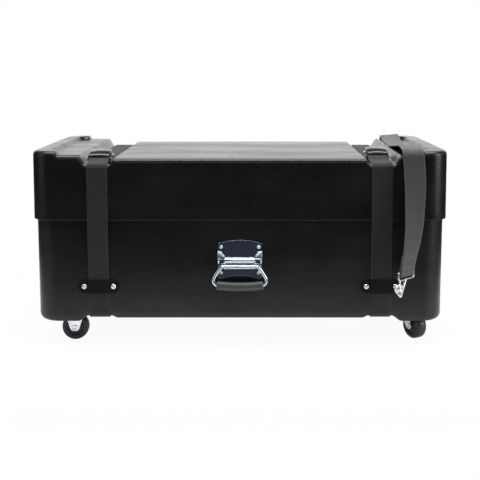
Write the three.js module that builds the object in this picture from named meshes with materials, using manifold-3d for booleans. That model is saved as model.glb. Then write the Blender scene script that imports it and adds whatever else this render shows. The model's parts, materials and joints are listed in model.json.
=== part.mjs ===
// Hard-shell accessory case: a moulded body with a telescoping lid, two webbing straps with cam
// buckles, a drop handle, two fixed and two swivel casters, and a loose strap with a hook.
// Millimetres, +X to the right, +Y to the back, +Z up. The floor is at Z 0.
import * as THREE from 'three'
import { mergeVertices } from 'three/addons/utils/BufferGeometryUtils.js'
import Module from 'manifold-3d'

const wasm = await Module()
wasm.setup()

// Fits
const gap = 0.3                 // between pieces that rest on each other
const pinPlay = 0.4             // round a pin or a rivet shank
const caseCentreY = 26             // puts the whole object's footprint about the origin

// Moulded shells
const wall = 3
const bodyHalfX = 385.5
const bodyHalfY = 179.5
const bodyCornerR = 42
const bodyEdgeR = 12
const bodyDraft = 2             // how far each end leans in from the rim to the underside
const lidPlay = 1.5             // between the body's wall and the lid's skirt
const lidHalfX = bodyHalfX + lidPlay + wall
const lidHalfY = bodyHalfY + lidPlay + wall
const lidCornerR = 42
const lidEdgeR = 8

// Heights above the floor
const casterHeight = 60         // from the floor to the face that a caster is riveted to
const floorWall = 3
const bodyGrooveZ = 54          // strap groove under the body
const bodyMiddleDrop = 4        // from the groove down to each lower level
const bodyLobeDrop = 10.4
const bodyMiddleZ = bodyGrooveZ - bodyMiddleDrop
const bodyLobeZ = bodyGrooveZ - bodyLobeDrop
const lidRidgeZ = 367
const lidLobeDrop = 7           // from the ridge down to each lower level
const lidMiddleDrop = 13.5
const lidGrooveDrop = 23
const lidLobeZ = lidRidgeZ - lidLobeDrop
const lidMiddleZ = lidRidgeZ - lidMiddleDrop
const lidGrooveZ = lidRidgeZ - lidGrooveDrop
const lidRimZ = 238
const lidCeilingZ = lidGrooveZ - wall
const bodyRimZ = lidCeilingZ - gap
const bodyFloorZ = casterHeight + floorWall

// Straps and their grooves
const strapInset = 121.5        // from the body's end to the middle of each case strap
const strapX = bodyHalfX - strapInset
const strapWidth = 38
const strapThick = 2
const grooveMargin = 3.5        // groove's flat floor beside the strap
const grooveHalf = strapWidth / 2 + grooveMargin
const lidMiddleSlope = 8.5      // run of the slope from the groove up to the middle panel
const lidLobeSlope = 13.5
const lidMiddleHalfX = strapX - grooveHalf - lidMiddleSlope
const lidLobeInnerX = strapX + grooveHalf + lidLobeSlope
const lidRidgeInset = 47
const lidRidgeInnerX = lidHalfX - lidRidgeInset
const ridgeSlope = 6
const ridgeEndWidth = 29
const ridgeSideWidth = 20
const ridgeCornerR = 36
const lidHollowEdge = 15        // solid left round each hollow under the lid's top
const bodyMiddleSlope = 10.5
const bodyLobeSlope = 18.5
const bodyMiddleHalfX = strapX - grooveHalf - bodyMiddleSlope
const bodyLobeInnerX = strapX + grooveHalf + bodyLobeSlope
const bayLength = 90            // the bay under each end that holds two casters
const bayEdge = 14.5            // solid left between a bay and the body's end
const bayOuterX = bodyHalfX - bayEdge
const bayInnerX = bayOuterX - bayLength
const baySideEdge = 16
const bayHalfY = bodyHalfY - baySideEdge
const bayCornerR = 14

// Casters
const wheelR = 25.4
const wheelWidth = 20
const wheelHubR = 8.4
const wheelWebR = 15.7          // where the sunk web meets the tyre
const wheelWebSink = 2.2
const treadEdge = [3, 5]        // the tyre's chamfer, inwards and across
const axleR = 3
const axleHeadR = 5
const axleHeadRise = 1.5
const axleBoreR = 2.2
const fixedCasterInset = [68.5, 42.5]   // from the body's end and from its face
const swivelCasterInset = [58.5, 65.5]
const fixedCasterX = fixedCasterInset[0] - bodyHalfX
const fixedCasterY = bodyHalfY - fixedCasterInset[1]
const swivelCasterX = bodyHalfX - swivelCasterInset[0]
const swivelCasterY = bodyHalfY - swivelCasterInset[1]
const swivelTrail = 20
const casterPlateThick = 2
const casterRivetHeadR = 4.4
const casterRivetHeadRise = 1.8
const fixedLegHalf = 17.5       // a fixed leg's half length where it meets its plate
const forkLegReach = [-11, 17]  // a fork leg's ends where it meets its crown
const forkCrownHalf = 15
const legFootR = 7              // round the axle
const wheelClearance = 1.2      // between the wheel and the fork's crown
const raceR = [7, 15, 17]       // the race's bore, its lower edge and its upper edge
const forkInnerHalf = 11.6
const forkThick = 2
const kingpinR = 4
const frontSwivelAngle = -60    // degrees from +X to the side the wheel trails
const backSwivelAngle = 25

// Keepers
const keeperMargin = 20         // keeper beyond the strap on each side
const keeperLength = strapWidth + 2 * keeperMargin
const keeperHeight = 25
const keeperThick = 1.8
const keeperZ = 113
const rivetMargin = 8.25        // from the strap's edge to the rivet
const keeperRivetSpacing = strapWidth + 2 * rivetMargin
const keeperBend = 2.4          // run of each bend up over the strap
const rivetHeadR = 5
const rivetHeadRise = 2.6
const rivetShankR = 2.4
const clenchRise = 1.4

// Handle
const handlePlateHalfX = 41.3
const handlePlateThick = 1.5
const handlePlateLowZ = 127
const handlePlateLowArchZ = 133.4
const handlePlateHighZ = 193.8
const handlePlateHighArchZ = 201.3
const handleRivetX = 35
const handleRivetLowZ = 139.2
const handleRivetHighZ = 188.2
const bailRodR = 3.2
const bailPivotZ = 152.6
const bailStandOff = 10.5       // from the body's face to the bail's plane
const bailBarHalf = 30.5
const bailHalfX = 49
const bailDrop = 37.6           // from the pivot to the middle of the grip
const gripR = 8.8
const gripHalfX = 43.6
const gripSag = 2.4
const hoodHalfX = 29.3
const bracketHighZ = 168.6      // upper edge of the bracket's band
const lugHighZ = 180.7
const lugInnerX = 36.5
const bracketFootDrop = 16.5    // from a lug's top down to the band's lower edge
const earDrop = 14
const beadR = 4.4               // bead over the bail's bar
const curlInnerX = 38
const curlR = 3
const curlRise = 7.2            // above the bail's pivot
const sheetThick = 1.4

// Buckles
const buckleLength = 50
const buckleInnerWidth = strapWidth + 1.2
const buckleCheek = 1.8
const buckleBase = 1.8
const buckleCheekRise = 15
const buckleBarRise = 5.5       // the bar's middle above the buckle's underside
const buckleBarR = 1.6
const buckleBaseStart = 3.5     // from the bar to the base plate
const leftBuckleDepth = 50      // from the lid's front face to the buckle's middle
const rightBuckleDepth = 97
const leverPinR = 2
const leverPinRise = 8.6        // above the buckle's base
const leverPinBack = 7          // behind the buckle's middle
const pinHeadRise = 1.3
const camR = 4.6
const camLobeR = 5.9

// Loose strap and its hook
const looseInset = 64.5
const looseX = bodyHalfX - looseInset
const looseWidth = 39.5
const looseTail = 115           // from the lid's lobe down to the strap's low end behind the case
const looseCrestRise = 15.7     // the arch over the lid's front edge
const looseFrontBend = 14
const hookTurn = 44             // degrees that the hook is turned about the vertical
const hookBarX = looseX - 14.3
const hookBarOut = 22.2         // from the lid's front face to the hook's bar
const hookBarZ = 143
const hookRodR = 1.9
const hookLowBarDrop = 9
const hookTip = [-17, 40.5]     // along the bar, and down from it
const hookJawX = -26
const hookJawDrop = 21.5
const hookHeelDrop = 11.5       // from the jaw's pin down to the heel
const hookBossR = 6.2
const hookPlateThick = 4.2
const jawRingR = 8.2
const jawPinR = 1.8
const jawPinHeadR = 3.2

const rad = THREE.MathUtils.degToRad

// Solids from geometries, and back
function solid (geometry) {
  const bare = geometry.clone()
  bare.deleteAttribute('normal')
  bare.deleteAttribute('uv')
  const merged = mergeVertices(bare, 1e-4)
  const made = new wasm.Manifold(new wasm.Mesh({
    numProp: 3,
    vertProperties: merged.attributes.position.array,
    triVerts: new Uint32Array(merged.index.array)
  }))
  return made
}

function geometryOf (shape) {
  const mesh = shape.getMesh()
  const points = new Float32Array(mesh.numVert * 3)
  for (let i = 0; i < mesh.numVert; i++) {
    points.set(mesh.vertProperties.subarray(i * mesh.numProp, i * mesh.numProp + 3), i * 3)
  }
  const geometry = new THREE.BufferGeometry()
  geometry.setAttribute('position', new THREE.BufferAttribute(points, 3))
  geometry.setIndex(new THREE.BufferAttribute(new Uint32Array(mesh.triVerts), 1))
  return geometry
}

const join = (first, ...rest) => rest.reduce((made, next) => made.add(next), first)
const cut = (first, ...rest) => rest.reduce((made, next) => made.subtract(next), first)

// A closed surface through stacked convex rings of equal point count, lowest ring first
function stack (rings) {
  const count = rings[0].length
  const points = rings.flat(2)
  const faces = []
  for (let r = 0; r < rings.length - 1; r++) {
    for (let i = 0; i < count; i++) {
      const a = r * count + i
      const b = r * count + (i + 1) % count
      faces.push(a, b, b + count, a, b + count, a + count)
    }
  }
  const top = (rings.length - 1) * count
  for (let i = 1; i < count - 1; i++) {
    faces.push(0, i + 1, i, top, top + i, top + i + 1)
  }
  const geometry = new THREE.BufferGeometry()
  geometry.setAttribute('position', new THREE.Float32BufferAttribute(points, 3))
  geometry.setIndex(faces)
  return geometry
}

// A rounded rectangle's outline at one height, anticlockwise
function roundedRing (halfX, halfY, cornerR, z) {
  const steps = cornerR > 15 ? 6 : 3
  const ring = []
  const corners = [[1, 1], [-1, 1], [-1, -1], [1, -1]]
  corners.forEach(([sx, sy], quarter) => {
    for (let i = 0; i <= steps; i++) {
      const angle = (quarter + i / steps) * Math.PI / 2
      ring.push([
        sx * (halfX - cornerR) + cornerR * Math.cos(angle),
        sy * (halfY - cornerR) + cornerR * Math.sin(angle),
        z
      ])
    }
  })
  return ring
}

// Insets and heights of a quarter-round edge, from the flat face to the upright wall
function edgeSteps (edgeR) {
  const steps = 4
  return Array.from({ length: steps + 1 }, (_, i) => {
    const angle = i / steps * Math.PI / 2
    return { inset: edgeR * (1 - Math.sin(angle)), rise: edgeR * (1 - Math.cos(angle)) }
  })
}

// A block of the lid's plan with its upper edge rounded
function lidBlock (topZ) {
  const rings = [roundedRing(lidHalfX, lidHalfY, lidCornerR, lidRimZ)]
  edgeSteps(lidEdgeR).reverse().forEach(({ inset, rise }) => {
    rings.push(roundedRing(lidHalfX - inset, lidHalfY - inset, lidCornerR - inset, topZ - rise))
  })
  return solid(stack(rings))
}

// A block of the body's plan with its lower edge rounded and its ends leaning in towards it
function bodyBlock (lowZ) {
  const rings = edgeSteps(bodyEdgeR).map(({ inset, rise }) =>
    roundedRing(bodyHalfX - bodyDraft - inset, bodyHalfY - inset, bodyCornerR - inset, lowZ + rise))
  rings.push(roundedRing(bodyHalfX, bodyHalfY, bodyCornerR, bodyRimZ))
  return solid(stack(rings))
}

function roundedBlock (halfX, halfY, cornerR, lowZ, highZ) {
  return solid(stack([roundedRing(halfX, halfY, cornerR, lowZ), roundedRing(halfX, halfY, cornerR, highZ)]))
}

// Prisms from outlines in the plane across each axis
function extruded (outline, depth, curveSegments = 4) {
  const shape = outline instanceof THREE.Shape
    ? outline
    : new THREE.Shape(outline.map(([a, b]) => new THREE.Vector2(a, b)))
  return new THREE.ExtrudeGeometry(shape, { depth, bevelEnabled: false, curveSegments })
}
const alongX = (outlineYZ, lowX, highX) => solid(extruded(outlineYZ, highX - lowX)
  .applyMatrix4(new THREE.Matrix4().set(0, 0, 1, lowX, 1, 0, 0, 0, 0, 1, 0, 0, 0, 0, 0, 1)))
const alongY = (outlineXZ, lowY, highY) => solid(extruded(outlineXZ, highY - lowY)
  .applyMatrix4(new THREE.Matrix4().set(1, 0, 0, 0, 0, 0, -1, highY, 0, 1, 0, 0, 0, 0, 0, 1)))
const alongZ = (outlineXY, lowZ, highZ) => solid(extruded(outlineXY, highZ - lowZ).translate(0, 0, lowZ))

function box (lowX, highX, lowY, highY, lowZ, highZ) {
  return alongZ([[lowX, lowY], [highX, lowY], [highX, highY], [lowX, highY]], lowZ, highZ)
}

// A turned piece about an axis along X, Y or Z; its profile is [radius, along] pairs
function turned (profile, axis = 'z', segments = 24) {
  const made = new THREE.LatheGeometry(profile.map(([r, h]) => new THREE.Vector2(r, h)), segments)
  made.rotateX(Math.PI / 2)
  if (axis === 'y') made.rotateX(-Math.PI / 2)
  if (axis === 'x') made.rotateY(Math.PI / 2)
  return solid(made)
}
const cylinder = (r, low, high, axis = 'z', segments = 24) =>
  turned([[0, low], [r, low], [r, high], [0, high]], axis, segments)

// A strip of webbing through stations: a point of its middle line, and the direction across it
function sweptWebbing (stations, width, thick) {
  const rings = stations.map(({ at, across }, i) => {
    const before = stations[Math.max(i - 1, 0)].at
    const after = stations[Math.min(i + 1, stations.length - 1)].at
    const run = after.clone().sub(before).normalize()
    const side = across.clone().addScaledVector(run, -across.dot(run)).normalize()
    const out = run.clone().cross(side)
    return [[1, 1], [-1, 1], [-1, -1], [1, -1]].map(([a, b]) =>
      at.clone().addScaledVector(side, a * width / 2).addScaledVector(out, b * thick / 2).toArray())
  })
  return solid(stack(rings))
}

// A strip of webbing: its middle line in the plane across X, thickened to both sides
function ribbonOutline (line, thick) {
  const side = sign => line.map(([y, z], i) => {
    const before = line[Math.max(i - 1, 0)]
    const after = line[Math.min(i + 1, line.length - 1)]
    const length = Math.hypot(after[0] - before[0], after[1] - before[1])
    const half = sign * thick / 2 / length
    return [y - (after[1] - before[1]) * half, z + (after[0] - before[0]) * half]
  })
  return [...side(-1), ...side(1).reverse()]
}

function arc (centreY, centreZ, r, fromDegrees, toDegrees, steps = 6) {
  return Array.from({ length: steps + 1 }, (_, i) => {
    const angle = rad(fromDegrees + (toDegrees - fromDegrees) * i / steps)
    return [centreY + r * Math.cos(angle), centreZ + r * Math.sin(angle)]
  })
}

const webbing = (line, centreX, width, thick = strapThick) =>
  alongX(ribbonOutline(line, thick), centreX - width / 2, centreX + width / 2)

// A round rod bent along points
function rod (points, r, sides, steps) {
  const path = new THREE.CatmullRomCurve3(points.map(p => new THREE.Vector3(...p)), false, 'centripetal')
  const section = new THREE.Shape()
  section.absarc(0, 0, r, 0, 2 * Math.PI)
  return solid(new THREE.ExtrudeGeometry(section, { steps, curveSegments: sides / 2, extrudePath: path }))
}

// Materials
const paint = (color, roughness, metalness) => new THREE.MeshStandardMaterial({ color, roughness, metalness })
const mouldedShell = paint(0x161618, 0.45, 0)
const strapWebbing = paint(0x2a2a2b, 0.85, 0)
const keeperHide = paint(0x151516, 0.6, 0)
const zincSteel = paint(0xc9d2da, 0.25, 1)
const rivetSteel = paint(0xb9bcc0, 0.3, 1)
const castNickel = paint(0xdcdcda, 0.2, 1)
const gripRubber = paint(0x2b2c2e, 0.6, 0)
const wheelRubber = paint(0x1b1b1e, 0.5, 0)
const buckleBlack = paint(0x101011, 0.3, 0)

const accessoryCase = new THREE.Group()
const pieces = new THREE.Group()
pieces.position.y = caseCentreY
accessoryCase.add(pieces)

function add (name, shape, material, parent = pieces) {
  const mesh = new THREE.Mesh(geometryOf(shape), material)
  mesh.name = name
  parent.add(mesh)
  return mesh
}

const sides = [{ side: 'left', sign: -1 }, { side: 'right', sign: 1 }]
const faces = [{ face: 'front', sign: -1 }, { face: 'back', sign: 1 }]
const far = 2 * lidHalfX        // past every outer face, for cutters

// Places that several pieces share
const rivetPlaces = faces.flatMap(({ face, sign: faceSign }) => sides.flatMap(({ side, sign: sideSign }) =>
  [-1, 1].map((end, n) => ({
    name: `keeper_rivet_${face}_${side}_${n + 1}`,
    faceSign,
    x: sideSign * strapX + end * keeperRivetSpacing / 2
  }))))
const handleRivets = [handleRivetLowZ, handleRivetHighZ].flatMap(z => [-1, 1].map(sign => ({ x: sign * handleRivetX, z })))
const plateRivets = [[-1, -1], [1, -1], [1, 1], [-1, 1]]
const fixedPlateHalfX = 30
const fixedPlateHalfY = 23
const swivelPlateHalfX = 31
const swivelPlateHalfY = 27
const plateRivetInset = 7
const plateRivetSpots = (cx, cy, halfX, halfY) => plateRivets.map(([sx, sy]) => ({
  x: cx + sx * (halfX - plateRivetInset),
  y: cy + sy * (halfY - plateRivetInset)
}))

// Lid
function makeLid () {
  const topOf = (z, lowX, highX, slopeLow, slopeHigh) => lidBlock(z).intersect(alongY([
    [lowX - slopeLow, lidGrooveZ - lidEdgeR], [highX + slopeHigh, lidGrooveZ - lidEdgeR],
    [highX + slopeHigh, lidGrooveZ], [highX, z], [lowX, z], [lowX - slopeLow, lidGrooveZ]
  ], -far, far))
  let shell = join(lidBlock(lidGrooveZ),
    topOf(lidMiddleZ, -lidMiddleHalfX, lidMiddleHalfX, lidMiddleSlope, lidMiddleSlope))
  for (const { sign } of sides) {
    const lobe = topOf(lidLobeZ, lidLobeInnerX, far, lidLobeSlope, 0)
    const ridgeInside = solid(stack([
      roundedRing(lidHalfX - ridgeEndWidth - ridgeSlope, lidHalfY - ridgeSideWidth - ridgeSlope,
        ridgeCornerR - ridgeSlope, lidLobeZ),
      roundedRing(lidHalfX - ridgeEndWidth, lidHalfY - ridgeSideWidth, ridgeCornerR, lidRidgeZ + 1)
    ]))
    const ridge = cut(lidBlock(lidRidgeZ).intersect(alongY([
      [lidRidgeInnerX - ridgeSlope, lidGrooveZ], [far, lidGrooveZ], [far, lidRidgeZ],
      [lidRidgeInnerX, lidRidgeZ], [lidRidgeInnerX - ridgeSlope, lidLobeZ]
    ], -far, far)), ridgeInside)
    const half = join(lobe, ridge)
    shell = join(shell, sign > 0 ? half : half.mirror([1, 0, 0]))
  }
  const skirt = roundedBlock(lidHalfX - wall, lidHalfY - wall, lidCornerR - wall, lidRimZ - 1, lidCeilingZ)
  const hollowHalfY = lidHalfY - 2 * lidHollowEdge
  const middleHollow = roundedBlock(lidMiddleHalfX - 10, hollowHalfY, 12, lidCeilingZ - 1, lidMiddleZ - wall)
  const hollowInnerX = lidLobeInnerX + 8
  const hollowOuterX = lidHalfX - ridgeEndWidth - ridgeSlope
  const lobeHollow = roundedBlock((hollowOuterX - hollowInnerX) / 2, hollowHalfY, 8, lidCeilingZ - 1, lidLobeZ - wall)
    .translate([(hollowOuterX + hollowInnerX) / 2, 0, 0])
  return cut(shell, skirt, middleHollow, lobeHollow, lobeHollow.mirror([1, 0, 0]))
}
add('lid_shell', makeLid(), mouldedShell)

// Body
function makeBody () {
  const lowOf = (z, lowX, highX, slopeLow, slopeHigh) => bodyBlock(z).intersect(alongY([
    [lowX, z], [highX, z], [highX + slopeHigh, bodyGrooveZ], [highX + slopeHigh, bodyGrooveZ + bodyEdgeR],
    [lowX - slopeLow, bodyGrooveZ + bodyEdgeR], [lowX - slopeLow, bodyGrooveZ]
  ], -far, far))
  let shell = join(bodyBlock(bodyGrooveZ),
    lowOf(bodyMiddleZ, -bodyMiddleHalfX, bodyMiddleHalfX, bodyMiddleSlope, bodyMiddleSlope))
  for (const { sign } of sides) {
    const lobe = lowOf(bodyLobeZ, bodyLobeInnerX, far, bodyLobeSlope, 0)
    const bay = roundedBlock((bayOuterX - bayInnerX) / 2, bayHalfY, bayCornerR, 0, casterHeight)
      .translate([(bayOuterX + bayInnerX) / 2, 0, 0])
    shell = join(shell, sign > 0 ? lobe : lobe.mirror([1, 0, 0]))
    shell = cut(shell, sign > 0 ? bay : bay.mirror([1, 0, 0]))
  }
  const inside = solid(stack([
    roundedRing(bodyHalfX - bodyDraft - wall, bodyHalfY - wall, bodyCornerR - wall, bodyFloorZ),
    roundedRing(bodyHalfX - wall, bodyHalfY - wall, bodyCornerR - wall, bodyRimZ + 1)
  ]))
  const holeR = rivetShankR + pinPlay
  const holes = [
    ...rivetPlaces.map(({ x, faceSign }) => cylinder(holeR, -wall * 2, wall * 2, 'y', 10)
      .translate([x, faceSign * bodyHalfY, keeperZ])),
    ...handleRivets.map(({ x, z }) => cylinder(holeR, -wall * 2, wall * 2, 'y', 10).translate([x, -bodyHalfY, z])),
    ...faces.flatMap(({ sign }) => [
      ...plateRivetSpots(fixedCasterX, sign * fixedCasterY, fixedPlateHalfX, fixedPlateHalfY),
      ...plateRivetSpots(swivelCasterX, sign * swivelCasterY, swivelPlateHalfX, swivelPlateHalfY)
    ]).map(({ x, y }) => cylinder(holeR, casterHeight - 1, bodyFloorZ + 1, 'z', 10).translate([x, y, 0]))
  ]
  return cut(shell, inside, ...holes)
}
add('body_shell', makeBody(), mouldedShell)

// Case straps: one length round the body's underside, one up each face, and two over the lid
const strapOut = gap + strapThick / 2            // middle of the webbing from the face it lies on
const runLowZ = keeperZ + keeperHeight / 2 + 1.5
const runHighZ = lidGrooveZ - lidEdgeR
const bodyTurn = [bodyHalfY - bodyEdgeR, bodyGrooveZ + bodyEdgeR]
const lowerStrapLine = [
  [-bodyHalfY - strapOut, runLowZ - gap],
  ...arc(-bodyTurn[0], bodyTurn[1], bodyEdgeR + strapOut, 180, 270),
  ...arc(bodyTurn[0], bodyTurn[1], bodyEdgeR + strapOut, 270, 360),
  [bodyHalfY + strapOut, runLowZ - gap]
]
const runLine = sign => [
  [sign * (bodyHalfY + strapOut), runLowZ],
  [sign * (lidHalfY + strapOut), lidRimZ - 4],
  [sign * (lidHalfY + strapOut), runHighZ - gap]
]
const lidTurnY = lidHalfY - lidEdgeR
const lidTopLine = lidGrooveZ + strapOut
const buckleZ = lidGrooveZ + gap
const buckleBarZ = buckleZ + buckleBarRise
for (const { side, sign } of sides) {
  const x = sign * strapX
  const buckleY = -lidHalfY + (sign < 0 ? leftBuckleDepth : rightBuckleDepth)
  const barY = buckleY - buckleLength / 2 + buckleBarR + 0.6
  add(`strap_${side}_lower`, webbing(lowerStrapLine, x, strapWidth), strapWebbing)
  for (const { face, sign: faceSign } of faces) {
    add(`strap_${side}_${face}_run`, webbing(runLine(faceSign), x, strapWidth), strapWebbing)
  }
  // The front length goes up over the lid's edge and round the buckle's bar
  const loopR = buckleBarR + gap + strapThick / 2
  const frontTop = [
    ...arc(-lidTurnY, runHighZ, lidEdgeR + strapOut, 180, 90),
    [barY - 9, lidTopLine + 1.2],
    ...arc(barY, buckleBarZ, loopR, -90, 120, 8)
  ]
  add(`strap_${side}_top_front`, webbing(frontTop, x, strapWidth), strapWebbing)
  // The back length runs through the buckle, under the cam, with its tail just past the base
  const tailY = barY + buckleBarR + 3.2
  const backTop = [
    [tailY + 5, buckleZ + buckleBase + strapOut],
    [buckleY + buckleLength / 2 + 3, buckleZ + buckleBase + strapOut],
    [buckleY + buckleLength / 2 + 18, lidTopLine],
    ...arc(lidTurnY, runHighZ, lidEdgeR + strapOut, 90, 0)
  ]
  add(`strap_${side}_top_back`, webbing(backTop, x, strapWidth), strapWebbing)
  makeBuckle(side, x, buckleY, barY)
}

// Buckle: a base with two cheeks and a bar, a cam lever and its pin
function makeBuckle (side, x, y, barY) {
  const low = y - buckleLength / 2
  const high = y + buckleLength / 2
  const inner = buckleInnerWidth / 2
  const outer = inner + buckleCheek
  const pinY = y + leverPinBack
  const pinZ = buckleZ + buckleBase + leverPinRise
  const cheekOutline = new THREE.Shape()
  const top = buckleZ + buckleCheekRise
  cheekOutline.moveTo(low, buckleZ)
  cheekOutline.lineTo(high, buckleZ)
  cheekOutline.lineTo(high, buckleZ + 5)
  cheekOutline.quadraticCurveTo(high - 4, top, pinY, top)
  cheekOutline.quadraticCurveTo(low + 12, top - 1, low, buckleBarZ + 4)
  const cheek = alongX(cheekOutline, inner, outer)
  const base = box(-outer, outer, barY + buckleBarR + buckleBaseStart, high, buckleZ, buckleZ + buckleBase)
  const bar = cylinder(buckleBarR, -outer, outer, 'x', 12).translate([0, barY, buckleBarZ])
  const pinHole = cylinder(leverPinR + pinPlay / 2, -outer - 1, outer + 1, 'x', 12)
  const frame = cut(join(base, bar, cheek, cheek.mirror([1, 0, 0])), pinHole.translate([0, pinY, pinZ]))
  add(`buckle_${side}_frame`, frame.translate([x, 0, 0]), buckleBlack)
  const headed = [
    [0, -outer - pinHeadRise], [leverPinR + 1, -outer - pinHeadRise], [leverPinR + 1, -outer - gap],
    [leverPinR, -outer - gap], [leverPinR, outer + gap], [leverPinR + 1, outer + gap],
    [leverPinR + 1, outer + pinHeadRise], [0, outer + pinHeadRise]
  ]
  add(`buckle_${side}_pin`, turned(headed, 'x', 12).translate([x, pinY, pinZ]), buckleBlack)
  // The lever's plate slopes down to the front, where a finger lifts it
  const leverOutline = new THREE.Shape()
  leverOutline.moveTo(pinY - camR * 0.7, pinZ + camR * 0.7)
  leverOutline.lineTo(low + 10, top - 0.4)
  leverOutline.lineTo(low + 2.5, top - 1.6)
  leverOutline.lineTo(low + 2.2, top + 0.6)
  leverOutline.quadraticCurveTo(low + 14, top + 3.2, pinY + 1, pinZ + camR + 5)
  leverOutline.lineTo(pinY + 9, pinZ + camR + 5.6)
  leverOutline.lineTo(pinY + 9.4, pinZ + camR + 3.6)
  leverOutline.lineTo(pinY + camR * 0.8, pinZ + camR * 0.6)
  const leverHalf = inner - gap
  const lobe = alongX([[pinY - 2, pinZ], [pinY + 2, pinZ], [pinY + 1.2, pinZ - camLobeR], [pinY - 1.2, pinZ - camLobeR]],
    -leverHalf, leverHalf)
  const lever = cut(
    join(cylinder(camR, -leverHalf, leverHalf, 'x', 24).translate([0, pinY, pinZ]),
      alongX(leverOutline, -leverHalf, leverHalf), lobe),
    cylinder(leverPinR + pinPlay, -inner - 1, inner + 1, 'x', 12).translate([0, pinY, pinZ]))
  add(`buckle_${side}_lever`, lever.translate([x, 0, 0]), buckleBlack)
}

// Keepers: a tab over each strap, riveted through the body's wall
function makeKeeper (faceSign, x) {
  const near = bodyHalfY + gap
  const over = near + strapThick + 2 * gap
  const inner = strapWidth / 2 + gap
  const foot = inner + keeperBend
  const line = [
    [-keeperLength / 2, near + keeperThick / 2], [-foot, near + keeperThick / 2],
    [-inner, over + keeperThick / 2], [inner, over + keeperThick / 2],
    [foot, near + keeperThick / 2], [keeperLength / 2, near + keeperThick / 2]
  ]
  const strip = alongZ(ribbonOutline(line, keeperThick), keeperZ - keeperHeight / 2, keeperZ + keeperHeight / 2)
  const round = new THREE.Shape()
  const r = keeperHeight / 2
  round.absarc(keeperLength / 2 - r, keeperZ, r, -Math.PI / 2, Math.PI / 2)
  round.absarc(-keeperLength / 2 + r, keeperZ, r, Math.PI / 2, 3 * Math.PI / 2)
  const trimmed = strip.intersect(alongY(round, near - 5, over + 10))
  const tab = cut(trimmed, ...[-1, 1].map(s => cylinder(rivetShankR + pinPlay / 2, near - 5, over + 9, 'y', 12)
    .translate([s * keeperRivetSpacing / 2, 0, keeperZ])))
  return (faceSign > 0 ? tab : tab.mirror([0, 1, 0])).translate([x, 0, 0])
}

// A rivet along Y, its dome outside and its clenched end inside
function wallRivet (seat, headR, headRise, shankR) {
  const inside = bodyHalfY - wall - gap
  const profile = [
    [0, inside - clenchRise], [shankR * 1.7, inside - clenchRise], [shankR * 1.9, inside], [shankR, inside],
    [shankR, seat], [headR, seat], [headR * 0.8, seat + headRise * 0.65], [0, seat + headRise]
  ]
  return turned(profile, 'y', 12)
}
for (const { face, sign: faceSign } of faces) {
  for (const { side, sign } of sides) {
    add(`keeper_${face}_${side}`, makeKeeper(faceSign, sign * strapX), keeperHide)
  }
}
for (const { name, x, faceSign } of rivetPlaces) {
  const made = wallRivet(bodyHalfY + keeperThick + 2 * gap, rivetHeadR, rivetHeadRise, rivetShankR)
  add(name, (faceSign > 0 ? made : made.mirror([0, 1, 0])).translate([x, 0, keeperZ]), rivetSteel)
}

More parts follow.
